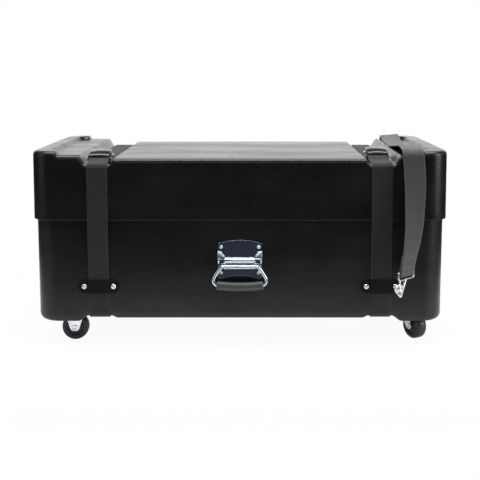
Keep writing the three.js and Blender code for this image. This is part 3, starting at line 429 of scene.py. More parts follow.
def buckle_finish():
    """Black stoved enamel, worn to a duller grey in spots."""
    finish = Finish("buckle_enamel", Specular_IOR_Level=0.6, Coat_Weight=0.3, Coat_Roughness=0.15)
    wear = finish.noise(260.0, 5.0, 0.7).between(0.62, 0.8)
    finish.colour(finish.mix(wear, (0.006, 0.006, 0.0065), (0.03, 0.03, 0.031)))
    finish.rough((0.26 + 0.25 * wear).clamped())
    finish.bump(finish.noise(500.0, 3.0), 0.0002, 0.3)
    return finish.material


FINISHES = {
    "shell": shell_finish(),
    "webbing": webbing_finish(
        "case_webbing", (0.029, 0.029, 0.03), (0.0025, 0.0025, 0.0025), RIB_PITCH, STRAP_WIDTH / 2, 0.2
    ),
    "loose_webbing": webbing_finish(
        "loose_webbing", (0.1, 0.1, 0.102), (0.016, 0.016, 0.017), LOOSE_RIB_PITCH, LOOSE_WIDTH / 2, 0.35
    ),
    "keeper": hide_finish(),
    "bright_zinc": plated_finish("bright_zinc", (0.78, 0.84, 0.9), (0.62, 0.68, 0.76), 0.1, 0.08),
    "rivet": plated_finish("rivet_nickel", (0.86, 0.88, 0.9), (0.6, 0.61, 0.62), 0.14, 0.12),
    "caster_zinc": plated_finish("caster_zinc", (0.84, 0.88, 0.92), (0.6, 0.63, 0.66), 0.2, 0.14),
    "hook": plated_finish("hook_nickel", (0.78, 0.78, 0.76), (0.52, 0.51, 0.48), 0.16, 0.12),
    "grip": grip_finish(),
    "wheel": wheel_finish(),
    "buckle": buckle_finish(),
}
THREAD = thread_finish()
# A darker, bluer copy of the bright zinc for the handle's flat back plate: painted shade standing in for the
# dark reflection that face shows.
SHADED_ZINC = plated_finish("blue_zinc", (0.27, 0.34, 0.46), (0.22, 0.28, 0.37), 0.05, 0.05)


# Making meshes, in millimetres


def at(x=0.0, y=0.0, z=0.0):
    return Matrix.Translation((x, y, z))


def turn(degrees, axis):
    return Matrix.Rotation(math.radians(degrees), 4, axis)


# A piece modelled with its outline in X and Y, rising along Z, is stood up by one of these
FACING_FRONT = turn(90, "X")                      # outline in X and Z, rising to the front
FACING_BACK = turn(180, "Z") @ turn(90, "X")
ACROSS = turn(90, "Z") @ turn(90, "X")            # outline in Y and Z, rising to the right
TO_METRES = Matrix.Diagonal((MM, MM, MM, 1.0))


def finish_piece(name, bm, slot, body, replaced=(), blended=None, material=None, sharp=35.0):
    """Turns a bmesh into a named piece with its finish, riding on its body, or left unattached where it
    stands when it is blended.
    """
    bmesh.ops.transform(bm, matrix=TO_METRES, verts=bm.verts)
    mesh = bpy.data.meshes.new(name)
    bm.to_mesh(mesh)
    bm.free()
    mesh.shade_smooth()
    mesh.set_sharp_from_angle(angle=math.radians(sharp))
    mesh.materials.append(material or FINISHES[slot])
    piece = bpy.data.objects.new(name, mesh)
    bpy.context.scene.collection.objects.link(piece)
    if blended:
        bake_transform(piece)
    else:
        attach(piece, body)
    if replaced:
        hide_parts(*replaced)


def placed(bm, matrix):
    bmesh.ops.transform(bm, matrix=matrix, verts=bm.verts)
    return bm


def gathered(first, *others):
    """Adds the other meshes to the first."""
    for other in others:
        mesh = bpy.data.meshes.new("gathering")
        other.to_mesh(mesh)
        other.free()
        first.from_mesh(mesh)
        bpy.data.meshes.remove(mesh)
    return first


def closed(bm):
    """Merges doubled points and turns every face outwards."""
    bmesh.ops.remove_doubles(bm, verts=bm.verts, dist=1e-3)
    bmesh.ops.recalc_face_normals(bm, faces=bm.faces)
    return bm


def bevel(bm, parts, offset, segments=2, affect="EDGES"):
    bmesh.ops.bevel(
        bm, geom=list(parts), offset=offset, segments=segments, profile=0.5, affect=affect, material=-1
    )


def plate(points, thick, edge_r=0.0, segments=2):
    """A flat piece from Z 0 up to its thickness, through (x, y) or (x, y, corner radius) points."""
    bm = bmesh.new()
    spots = [Vector(point[:2]) for point in points]
    corners = [bm.verts.new((*spot, 0.0)) for spot in spots]
    bm.faces.new(corners)
    for n, corner in enumerate(corners):
        if len(points[n]) > 2:
            after = spots[(n + 1) % len(spots)] - spots[n]
            half_turn = abs((spots[n] - spots[n - 1]).angle_signed(after)) / 2
            bevel(bm, [corner], points[n][2] * math.tan(half_turn), 6, "VERTICES")
    bmesh.ops.remove_doubles(bm, verts=bm.verts, dist=0.05)
    made = bmesh.ops.extrude_face_region(bm, geom=bm.faces[:] + bm.edges[:] + bm.verts[:])["geom"]
    risen = [part for part in made if isinstance(part, bmesh.types.BMVert)]
    bmesh.ops.translate(bm, vec=(0.0, 0.0, thick), verts=risen)
    bmesh.ops.recalc_face_normals(bm, faces=bm.faces)
    if edge_r:
        rims = [e for e in bm.edges if abs(e.verts[0].co.z - e.verts[1].co.z) < thick / 2]
        bevel(bm, rims, edge_r, segments)
        # A narrow ring inside each flat face keeps its shading flat up to the rounded edge
        bm.normal_update()
        caps = [f for f in bm.faces if abs(f.normal.z) > 0.999]
        bmesh.ops.inset_region(bm, faces=caps, thickness=0.3 * edge_r, use_even_offset=True)
    return closed(bm)


def rectangle(half_x, half_y, corner_r):
    """Corners a hair under their radius, so that two of them never meet on a short side."""
    return [(sx * half_x, sy * half_y, corner_r - 0.01) for sx, sy in ((-1, -1), (1, -1), (1, 1), (-1, 1))]


def arc(centre, radius, start, end, steps):
    """Points round a centre, with the angles in degrees."""
    angles = [math.radians(start + (end - start) * n / steps) for n in range(steps + 1)]
    return [(centre[0] + radius * math.cos(a), centre[1] + radius * math.sin(a)) for a in angles]


def turned(profile, steps=32):
    """A turned piece about Z through (radius, height) points."""
    bm = bmesh.new()
    line = [bm.verts.new((radius, 0.0, height)) for radius, height in profile]
    edges = [bm.edges.new(pair) for pair in zip(line, line[1:])]
    bmesh.ops.spin(
        bm, geom=line + edges, cent=(0, 0, 0), axis=(0, 0, 1), angle=2 * math.pi, steps=steps, use_merge=True
    )
    return closed(bm)


def mirrored_outline(points):
    """An outline's points mirrored to the left, in reverse."""
    return [(-point[0], *point[1:]) for point in reversed(points)]


def mirrored_profile(profile):
    """A profile and its mirror image below, from the top down."""
    return [*profile, *((radius, -height) for radius, height in reversed(profile))]


# Sweeping a section along a path


def through(points, steps):
    """A smooth path through points, its speed set by their distances so that it never loops."""
    ends = [points[0] * 2 - points[1], *points, points[-1] * 2 - points[-2]]
    path = []
    for a, b, c, d in zip(ends, ends[1:], ends[2:], ends[3:]):
        times = [0.0]
        for near, off in ((a, b), (b, c), (c, d)):
            times.append(times[-1] + max((off - near).length, 1e-6) ** 0.5)
        for n in range(steps):
            time = times[1] + (times[2] - times[1]) * n / steps
            level = [a, b, c, d]
            for spans in ([(0, 1), (1, 2), (2, 3)], [(0, 2), (1, 3)], [(1, 2)]):
                level = [
                    near + (off - near) * ((time - times[start]) / (times[end] - times[start]))
                    for near, off, (start, end) in zip(level, level[1:], spans)
                ]
            path.append(level[0])
    path.append(points[-1])
    return path


def spaced(points, pitch):
    """The same line with its points a pitch apart."""
    found = [points[0]]
    left = pitch
    for before, after in zip(points, points[1:]):
        length = (after - before).length
        place = left
        while place < length:
            found.append(before.lerp(after, place / length))
            place += pitch
        left = place - length
    if (found[-1] - points[-1]).length > pitch / 2:
        found.append(points[-1])
    return found


def frames_along(points, sides=None):
    """A frame at each point: across the piece, out from its face, and along the run."""
    frames = []
    side = None
    for n, point in enumerate(points):
        run = (points[min(n + 1, len(points) - 1)] - points[max(n - 1, 0)]).normalized()
        if sides:
            side = sides[n]
        elif side is None:
            side = run.orthogonal()
        side = (side - run * side.dot(run)).normalized()
        frames.append(Matrix.Translation(point) @ Matrix((side, run.cross(side), run)).transposed().to_4x4())
    return frames


def swept(outline, frames, capped=True):
    """Draws a closed outline in X and Y along frames. Its UV map is millimetres across and along."""
    lengths = [0.0]
    for before, after in zip(frames, frames[1:]):
        lengths.append(lengths[-1] + (after.translation - before.translation).length)
    around = len(outline)
    rows = len(frames) - 1
    bm = bmesh.new()
    weave = bm.loops.layers.uv.new("weave")
    bmesh.ops.create_grid(bm, x_segments=around, y_segments=rows, size=0.5)
    spots = {v: (round((v.co.x + 0.5) * around), round((v.co.y + 0.5) * rows)) for v in bm.verts}
    for face in bm.faces:
        for loop in face.loops:
            column, row = spots[loop.vert]
            loop[weave].uv = (outline[column % around][0], lengths[row])
    for vert, (column, row) in spots.items():
        vert.co = frames[row] @ Vector((*outline[column % around], 0.0))
    bmesh.ops.remove_doubles(bm, verts=bm.verts, dist=1e-3)
    if capped:
        bmesh.ops.holes_fill(bm, edges=[edge for edge in bm.edges if edge.is_boundary], sides=0)
    bmesh.ops.recalc_face_normals(bm, faces=bm.faces)
    return bm


def strip_outline(width, thick, columns=8):
    """The cut end of a strap or strip of sheet, with rounded sides."""
    half = width / 2
    nose_length = thick * 0.42
    nose = []
    for angle in map(math.radians, (-90, -52, 0, 52, 90)):
        nose.append((half - nose_length * (1 - math.cos(angle)), thick / 2 * math.sin(angle)))
    flat_step = (width - 2 * nose_length) / columns
    flat = [(half - nose_length - flat_step * n, thick / 2) for n in range(1, columns)]
    right_and_top = [*nose, *flat]
    return [*right_and_top, *((-x, -y) for x, y in right_and_top)]


def circle(radius, sides=20):
    angles = [2 * math.pi * n / sides for n in range(sides)]
    return [(radius * math.cos(angle), radius * math.sin(angle)) for angle in angles]


def sleeve(radius, bore, frames, sides=28):
    """A tube along frames, with an end face round its bore."""
    inner = swept(circle(bore, sides), frames, capped=False)
    bmesh.ops.reverse_faces(inner, faces=inner.faces)
    bm = gathered(swept(circle(radius, sides), frames, capped=False), inner)
    middle = frames[len(frames) // 2].translation
    run = frames[-1].translation - frames[0].translation
    for sign in (-1, 1):
        rims = [e for e in bm.edges if e.is_boundary and (e.verts[0].co - middle).dot(run) * sign > 0]
        bmesh.ops.bridge_loops(bm, edges=rims)
    bmesh.ops.recalc_face_normals(bm, faces=bm.faces)
    return bm


def scaled(frame, size):
    return frame @ Matrix.Diagonal((size, size, 1.0, 1.0))


def wire(points, radius, sides=16, widths=None, end_r=0.0):
    """A round wire along points, with its own width at each point and rounded ends."""
    frames = [scaled(f, size) for f, size in zip(frames_along(points), widths or [1.0] * len(points))]
    if end_r:
        steps = [(0.35, 1.0), (0.72, 0.66), (0.93, 0.28)]
        nose = [scaled(frames[0] @ at(z=-end_r * out), size) for size, out in steps]
        tail = [scaled(frames[-1] @ at(z=end_r * out), size) for size, out in steps]
        frames = [*nose, *frames, *reversed(tail)]
    return swept(circle(radius, sides), frames)


def filleted(points, radius, steps=6):
    """A bent line through points with the same radius at every bend."""
    path = [points[0]]
    for before, here, after in zip(points, points[1:], points[2:]):
        into = (here - before).normalized()
        out = (after - here).normalized()
        half_turn = into.angle(out) / 2
        setback = radius * math.tan(half_turn)
        centre = here + (out - into).normalized() * (radius / math.cos(half_turn))
        start = here - into * setback
        axis = into.cross(out).normalized()
        for n in range(steps + 1):
            spin = Matrix.Rotation(2 * half_turn * n / steps, 3, axis)
            path.append(centre + spin @ (start - centre))
    path.append(points[-1])
    return path


# Moulded shells


def cut_across(bm, axis, place):
    """Cuts the whole mesh where an axis has a value, so that a bend can follow that line."""
    normal = Vector((0.0, 0.0, 0.0))
    normal[axis] = 1.0
    bmesh.ops.bisect_plane(
        bm, geom=bm.verts[:] + bm.edges[:] + bm.faces[:], plane_co=normal * place, plane_no=normal
    )


def smooth_step(value, low, high):
    t = min(max((value - low) / (high - low), 0.0), 1.0)
    return t * t * (3 - 2 * t)


def rounded_distance(x, y, half_x, half_y, corner_r):
    """How far a point lies outside a rounded rectangle, negative inside."""
    dx = abs(x) - half_x + corner_r
    dy = abs(y) - half_y + corner_r
    return math.hypot(max(dx, 0.0), max(dy, 0.0)) + min(max(dx, dy), 0.0) - corner_r


def relief_block(half_x, half_y, corner_r, edge_r, rim_z, crown_z, level, cuts_x, cuts_y):
    """An open box with round corners whose crown follows level(x, y). It opens at the rim."""
    bm = bmesh.new()
    bmesh.ops.create_cube(bm, size=2.0)
    half_z = abs(crown_z - rim_z) / 2
    upwards = math.copysign(1, crown_z - rim_z)
    bmesh.ops.scale(bm, vec=(half_x, half_y, half_z), verts=bm.verts)
    bevel(bm, [e for e in bm.edges if abs(e.verts[0].co.z - e.verts[1].co.z) > half_z], corner_r, 14)
    crown = max(bm.faces, key=lambda f: f.calc_center_median().z)
    bevel(bm, crown.edges, edge_r, 6)
    rim = min(bm.faces, key=lambda f: f.calc_center_median().z)
    bmesh.ops.delete(bm, geom=[rim], context="FACES_ONLY")
    crown = max(bm.faces, key=lambda f: f.calc_area() if f.normal.z > 0.99 else 0.0)
    for _ in range(14):
        bmesh.ops.inset_region(bm, faces=[crown], thickness=2.0, use_even_offset=True)
    corner_starts = (half_x - corner_r - 3, half_y - corner_r - 3)
    for axis, places in ((0, [*cuts_x, corner_starts[0]]), (1, [*cuts_y, corner_starts[1]])):
        for place in sorted({sign * place for place in places for sign in (-1, 1)}):
            cut_across(bm, axis, place)
    for place in (3.0 - half_z, half_z - edge_r - 2.0, half_z - edge_r - 10.0):
        cut_across(bm, 2, place)
    # The rounded edge moves with the crown's level, and the walls stretch between it and the rim
    for vert in bm.verts:
        depth = half_z - vert.co.z
        top = level(min(abs(vert.co.x), half_x - edge_r), min(abs(vert.co.y), half_y - edge_r))
        share = max(depth - edge_r, 0.0) / (2 * half_z - edge_r)
        vert.co.z = (top - min(depth, edge_r) * upwards) * (1 - share) + rim_z * share
    if upwards < 0:
        bmesh.ops.reverse_faces(bm, faces=bm.faces)
    return placed(bm, at(y=CASE_Y))


def lid_level(x, y):
    """Height of the lid's outer top: middle panel, strap grooves, ends and their raised rims."""
    level = LID_MIDDLE_Z
    level -= (LID_MIDDLE_Z - LID_GROOVE_Z) * smooth_step(x, LID_MIDDLE_EDGE_X, GROOVE_INNER_X)
    level += (LID_LOBE_Z - LID_GROOVE_Z) * smooth_step(x, GROOVE_OUTER_X, LID_LOBE_EDGE_X)
    flat_half_x = LID_HALF_X - RIDGE_END_WIDTH
    flat_half_y = LID_HALF_Y - RIDGE_SIDE_WIDTH
    outside = rounded_distance(x, y, flat_half_x, flat_half_y, RIDGE_CORNER_R)
    ridge = smooth_step(outside, -RIDGE_SLOPE, 0.0)
    ridge *= smooth_step(x, RIDGE_INNER_X - RIDGE_SLOPE, RIDGE_INNER_X)
    return level + (LID_HIGH.z - LID_LOBE_Z) * ridge


def body_level(x, y):
    """Height of the body's outer underside: middle, strap grooves, end lobes and the caster bays."""
    level = BODY_MIDDLE_Z
    level += (BODY_GROOVE_Z - BODY_MIDDLE_Z) * smooth_step(x, BODY_MIDDLE_EDGE_X, GROOVE_INNER_X)
    level -= (BODY_GROOVE_Z - BODY_LOW.z) * smooth_step(x, GROOVE_OUTER_X, BODY_LOBE_EDGE_X)
    bay_middle = sum(BAY_X) / 2
    outside = rounded_distance(x - bay_middle, y, BAY_X[1] - bay_middle, BAY_HALF_Y, BAY_CORNER_R)
    return level + (CASTER_SEAT_Z - level) * smooth_step(-outside, 0.0, 2.0)


def steps_between(low, high, count):
    return [low + (high - low) * n / count for n in range(count + 1)]


def walled(outer, inner):
    """Closes an outer and an inner skin with a rounded lip round their open rims."""
    bmesh.ops.reverse_faces(inner, faces=inner.faces)
    bm = gathered(outer, inner)
    lip = set(bmesh.ops.bridge_loops(bm, edges=[e for e in bm.edges if e.is_boundary])["faces"])
    bevel(bm, {e for f in lip for e in f.edges if any(other not in lip for other in e.link_faces)}, LIP_R)
    bmesh.ops.remove_doubles(bm, verts=bm.verts, dist=1e-3)
    return bm


def make_lid_moulding():
    cuts_x = [
        *PANEL_CUTS, *steps_between(LID_MIDDLE_EDGE_X - 2, GROOVE_INNER_X + 2, 8), STRAP_X,
        *steps_between(GROOVE_OUTER_X - 2, LID_LOBE_EDGE_X + 2, 10), 318.0,
        *steps_between(RIDGE_INNER_X - RIDGE_SLOPE, RIDGE_INNER_X, 4),
    ]
    cuts_y = [0.0, 40.0, 80.0, 115.0, 130.0]
    outer = relief_block(
        LID_HALF_X, LID_HALF_Y, CORNER_R, LID_EDGE_R, LID_LOW.z, LID_HIGH.z, lid_level, cuts_x, cuts_y
    )
    inner = relief_block(
        LID_HALF_X - WALL, LID_HALF_Y - WALL, CORNER_R - WALL, LID_INNER_EDGE_R, LID_LOW.z, LID_HIGH.z - WALL,
        lambda x, y: lid_level(x, y) - WALL, cuts_x, cuts_y,
    )
    finish_piece("lid_moulding", walled(outer, inner), "shell", "lid", ["lid_shell"])


def make_body_moulding():
    cuts_x = [
        *PANEL_CUTS, *steps_between(BODY_MIDDLE_EDGE_X - 2, GROOVE_INNER_X + 2, 6), STRAP_X,
        *steps_between(BAY_X[0], BAY_X[0] + 2, 2),
        *steps_between(GROOVE_OUTER_X - 1, BODY_LOBE_EDGE_X + 2, 8), 320.0,
        *steps_between(BAY_X[1] - 20, BAY_X[1], 4),
    ]
    cuts_y = [0.0, 40.0, 80.0, 120.0, *steps_between(BAY_HALF_Y - BAY_CORNER_R, BAY_HALF_Y - 2, 4)]
    foot_half_x = BODY_HALF_X - BODY_DRAFT
    outer = relief_block(
        foot_half_x, BODY_HALF_Y, CORNER_R, BODY_EDGE_R, BODY_HIGH.z, BODY_LOW.z, body_level, cuts_x, cuts_y
    )
    inner = relief_block(
        foot_half_x - WALL, BODY_HALF_Y - WALL, CORNER_R - WALL, BODY_INNER_EDGE_R, BODY_HIGH.z, BODY_FLOOR_Z,
        lambda x, y: BODY_FLOOR_Z, [0.0, 160.0], [0.0],
    )
    bm = walled(outer, inner)
    foot_z = BODY_LOW.z + BODY_EDGE_R
    for vert in bm.verts:
        if abs(vert.co.x) > foot_half_x - CORNER_R - 1:
            lean = max(vert.co.z - foot_z, 0.0) / (BODY_HIGH.z - foot_z)
            vert.co.x += math.copysign(BODY_DRAFT * lean, vert.co.x)
    finish_piece("body_moulding", bm, "shell", "case", ["body_shell"])


make_lid_moulding()
make_body_moulding()


# Straps


def buckle_middle(side):
    """The middle of a buckle's underside."""
    middle = node_middle(f"buckle_{side}_frame")
    return Vector((middle.x, middle.y, node_box(f"buckle_{side}_frame")[0].z))


def strap_line(side):
    """The strap's middle line in Y and Z: from its tail in the buckle, round the case, to the bar."""
    middle = buckle_middle(side)
    bar = (middle.y + BUCKLE_BAR[0], middle.z + BUCKLE_BAR[1])
    in_buckle_z = middle.z + BUCKLE_BASE + STRAP_OUT
    over_lid_z = LID_GROOVE_Z + STRAP_OUT
    lid_turn = (LID_HALF_Y - LID_EDGE_R, LID_GROOVE_Z - LID_EDGE_R)
    body_turn = (BODY_HALF_Y - BODY_EDGE_R, BODY_GROOVE_Z + BODY_EDGE_R)
    down_one_face = [
        *arc(lid_turn, LID_EDGE_R + STRAP_OUT, 90, 0, 12),
        (LID_HALF_Y + STRAP_OUT, LID_LOW.z - 4),
        (BODY_HALF_Y + STRAP_OUT, KEEPER_Z + KEEPER_HEIGHT / 2 + 1.5),
        *arc(body_turn, BODY_EDGE_R + STRAP_OUT, 0, -90, 12),
    ]
    loop_r = BUCKLE_BAR_R + GAP + STRAP_THICK / 2
    return [
        (bar[0] + 9.8, in_buckle_z),
        (middle.y + 28, in_buckle_z),
        (middle.y + 43, over_lid_z),
        *((CASE_Y + y, z) for y, z in down_one_face),
        *((CASE_Y - y, z) for y, z in reversed(down_one_face)),
        (bar[0] - 14, over_lid_z + 1.0),
        *arc(bar, loop_r, 113, -90, 18),
        (bar[0] - 6, bar[1] - loop_r),
    ]


def ribbed(frames, pitch, depth):
    """Frames whose section swells and thins once in each pitch, as ribbed webbing does."""
    along = 0.0
    made = [frames[0]]
    for before, after in zip(frames, frames[1:]):
        along += (after.translation - before.translation).length
        swell = 1 + depth * math.cos(2 * math.pi * along / pitch)
        made.append(after @ Matrix.Diagonal((1.0, swell, 1.0, 1.0)))
    return made


def make_case_straps():
    parts = ("lower", "front_run", "back_run", "top_front", "top_back")
    for side, sign in SIDES:
        line = [Vector((sign * STRAP_X, y, z)) for y, z in strap_line(side)]
        points = spaced(line, RIB_PITCH / 4)
        frames = ribbed(frames_along(points, [TO_RIGHT] * len(points)), RIB_PITCH, 0.05)
        bm = swept(strip_outline(STRAP_WIDTH, STRAP_THICK), frames)
        nodes = [f"strap_{side}_{part}" for part in parts]
        finish_piece(f"strap_{side}", bm, "webbing", None, nodes, blended=STRETCH, sharp=60.0)


def loose_stations():
    """The loose strap's middle line and the way across it, from behind the case to the hook's bar."""
    back_y = CASE_Y + LID_HALF_Y
    front_y = LID_LOW.y
    back_x = LOOSE_X + 7.5
    crest_x = LOOSE_X - 4
    top = LID_LOBE_Z + STRAP_OUT
    crest = LID_LOBE_Z + 15.7
    edge_spots = arc((back_y - LID_EDGE_R, LID_HIGH.z - LID_EDGE_R), LID_EDGE_R + STRAP_OUT, 0, 75, 5)
    bend_spots = arc((front_y, crest - 17), 14.0, 105, 180, 6)
    rows = [
        (back_x, back_y + STRAP_OUT, LID_LOBE_Z - 115, 0, 0),
        (back_x, back_y + STRAP_OUT, LID_LOBE_Z - 60, 0, 0),
        (back_x, back_y + STRAP_OUT, LID_LOBE_Z - 15, 0, 0),
        *((back_x, y, z, 0, n) for n, (y, z) in enumerate(edge_spots)),
        (back_x - 0.5, back_y - 19, top + 5.4, 0, 9),
        (back_x - 2, back_y - 44, top + 3.4, 0, 6),
        (back_x - 3.5, back_y - 74, top + 0.6, 0, 1),
        (back_x - 5, back_y - 104, top, 0, 0),
        (LOOSE_X - 1, front_y + 187, top, 0, 0),
        (LOOSE_X - 2, front_y + 167, top + 0.8, 0, 0),
        (crest_x + 0.6, front_y + 105, top + 6.6, 0, 0),
        (crest_x + 0.3, front_y + 46, crest - 1.4, 0, 0),
        (crest_x, front_y + 32, crest, 0, 0),
        (crest_x, front_y + 18, crest - 0.5, 0, 0),
        *((crest_x + 0.3 * n, y, z, 0, 0) for n, (y, z) in enumerate(bend_spots)),
        (LOOSE_X - 1, front_y - 14.5, LID_HIGH.z - 24, 1, 0),
        (LOOSE_X + 1, front_y - 16.5, LID_HIGH.z - 61, 5, 0),
        (LOOSE_X + 0.6, front_y - 19.5, LID_LOW.z + 23, 17, 0),
        (LOOSE_X - 0.5, front_y - 22, LID_LOW.z - 2, 24, 0),
        (LOOSE_X - 3.5, front_y - 24, HOOK_BAR_Z + 63, 32, 0),
        (LOOSE_X - 8.5, front_y - 25, HOOK_BAR_Z + 32, 41, 0),
    ]
    stations = []
    for x, y, z, turned_by, tilt in rows:
        turned_by = math.radians(turned_by)
        across = Vector((math.cos(turned_by), math.sin(turned_by), math.sin(math.radians(tilt))))
        stations.append((Vector((x, y, z)), across))
    return stations


ALONG_BAR = turn(HOOK_TURN, "Z").to_3x3() @ TO_RIGHT
BEHIND_BAR = turn(HOOK_TURN, "Z").to_3x3() @ Vector((0.0, 1.0, 0.0))


def hook_loop():
    """The loose strap's middle line round the hook's bar: down in front of it, under it and up behind."""
    loop_r = HOOK_ROD_R + GAP + STRAP_THICK / 2
    spots = [(-loop_r, HOOK_BAR_Z + 5), *arc((0.0, HOOK_BAR_Z), loop_r, 180, 400, 12)]
    return [Vector((HOOK_X, HOOK_Y, z)) + BEHIND_BAR * y for y, z in spots]


def above_hook(part):
    """A place part of the way up from the loop to the next station, with the ways across and behind."""
    top, top_across = loose_stations()[-1]
    foot = hook_loop()[0]
    across = ALONG_BAR.lerp(top_across, part).normalized()
    behind = (top - foot).cross(across).normalized()
    if behind.dot(BEHIND_BAR) < 0:
        behind = -behind
    return foot.lerp(top, part), across, behind


def make_loose_strap():
    stations = [*loose_stations(), *((spot, ALONG_BAR) for spot in hook_loop())]
    # The end comes up behind the strap, a little more than its thickness away
    for part, apart in ((0.35, 2.9), (0.6, 2.4), (0.85, 2.3), (1.06, 2.3)):
        spot, across, behind = above_hook(part)
        stations.append((spot + behind * apart, across))
    places = through([spot for spot, _ in stations], 6)
    sides = through([across for _, across in stations], 6)
    bm = swept(strip_outline(LOOSE_WIDTH, STRAP_THICK), frames_along(places, sides))
    finish_piece("loose_strap_webbing", bm, "loose_webbing", "lid", ["loose_strap"], sharp=60.0)


def make_strap_stitches():
    """A box of stitches that holds the loose strap's end, each a short raised thread."""
    length = (loose_stations()[-1][0] - hook_loop()[0]).length

    def on_front(across_mm, up_mm):
        spot, across, behind = above_hook(up_mm / length)
        return spot + across * across_mm - behind * (STRAP_THICK / 2)

    bm = bmesh.new()
    half = LOOSE_WIDTH / 2 - SEAM_INSET
    low, high = SEAM_SPAN
    corners = [Vector(spot) for spot in ((-half, low), (half, low), (half, high), (-half, high))]
    for start, end in zip(corners, corners[1:] + corners[:1]):
        count = round((end - start).length / STITCH_PITCH)
        for n in range(count):
            ends = [on_front(*start.lerp(end, (n + part) / count)) for part in (0.14, 0.5, 0.86)]
            bm = gathered(bm, wire(ends, THREAD_R, 6, [0.55, 1.0, 0.55]))
    finish_piece("loose_strap_stitches", bm, "loose_webbing", "lid", material=THREAD)


make_case_straps()
make_loose_strap()
make_strap_stitches()


# Keepers and rivets


def keeper_tab():
    """A tab over the strap, raised where the strap runs under it."""
    bm = plate(rectangle(KEEPER_LENGTH / 2, KEEPER_HEIGHT / 2, KEEPER_HEIGHT / 2), KEEPER_THICK, 0.6, 3)
    inner = STRAP_WIDTH / 2 + GAP
    for place in steps_between(inner - 0.5, inner + 2.9, 6):
        cut_across(bm, 0, place)
        cut_across(bm, 0, -place)
    for vert in bm.verts:
        vert.co.z += GAP + KEEPER_HUMP * (1 - smooth_step(abs(vert.co.x), inner, inner + 2.4))
    return bm


def rivet(seat, head_r, rise, shank_r):
    """A domed rivet with a dimple, from its clenched end inside the wall to its head, Z 0 at the wall."""
    inside = -WALL - GAP
    clench = [(0.0, -1.4), (1.5, -1.4), (1.85, -1.0), (1.9, 0.0), (1.0, 0.0)]
    head = [
        (0.94, 0.0), (1.0, 0.12), (0.93, 0.42), (0.74, 0.76), (0.5, 0.97), (0.38, 1.0), (0.3, 0.94),
        (0.22, 0.72), (0.0, 0.66),
    ]
    return turned([
        *((shank_r * out, inside + up) for out, up in clench),
        (shank_r, seat),
        *((head_r * out, seat + rise * up) for out, up in head),
    ])


def make_keepers():
    for face, wall_y, stand in (
        ("front", CASE_Y - BODY_HALF_Y, FACING_FRONT),
        ("back", CASE_Y + BODY_HALF_Y, FACING_BACK),
    ):
        for side, sign in SIDES:
            node = f"keeper_{face}_{side}"
            tab = placed(keeper_tab(), at(sign * STRAP_X, wall_y, KEEPER_Z) @ stand)
            finish_piece(f"keeper_tab_{face}_{side}", tab, "keeper", "case", [node])
            for n, end in ((1, -1), (2, 1)):
                x = sign * STRAP_X + end * KEEPER_RIVET_SPACING / 2
                head = placed(rivet(KEEPER_THICK + 2 * GAP, *KEEPER_RIVET), at(x, wall_y, KEEPER_Z) @ stand)
                name = f"keeper_rivet_{face}_{side}_{n}"
                finish_piece(f"{name}_head", head, "rivet", "case", [name])


make_keepers()


# Handle


def handle_plate_outline():
    """The back plate: its upper edge bows up, and its lower edge rises in the middle."""
    shoulder = 35.3
    foot = 34.3
    rise_half = 19.3
    upper = [(x, 196.2 + 5.1 * (1 - (x / shoulder) ** 2)) for x in steps_between(shoulder, -shoulder, 12)]
    lower = []
    for x in steps_between(-foot, foot, 24):
        rise = 5 * smooth_step(rise_half + 15 - abs(x), 0, 15) + 1.4 * max(1 - (x / rise_half) ** 2, 0)
        lower.append((x, 127 + rise))
    right = [(HANDLE_HALF_X - 1, 127.6, 3.0), (HANDLE_HALF_X, 195, 3.5)]
    return [*lower, *right, *upper, *mirrored_outline(right)]


def face_strip(width, line):
    """Bent sheet whose middle line is (out from the face, Z) points, running across the handle."""
    points = [Vector((0.0, -out, z)) for out, z in line]
    return swept(strip_outline(width, BRACKET_SHEET, 2), frames_along(points, [TO_RIGHT] * len(points)))


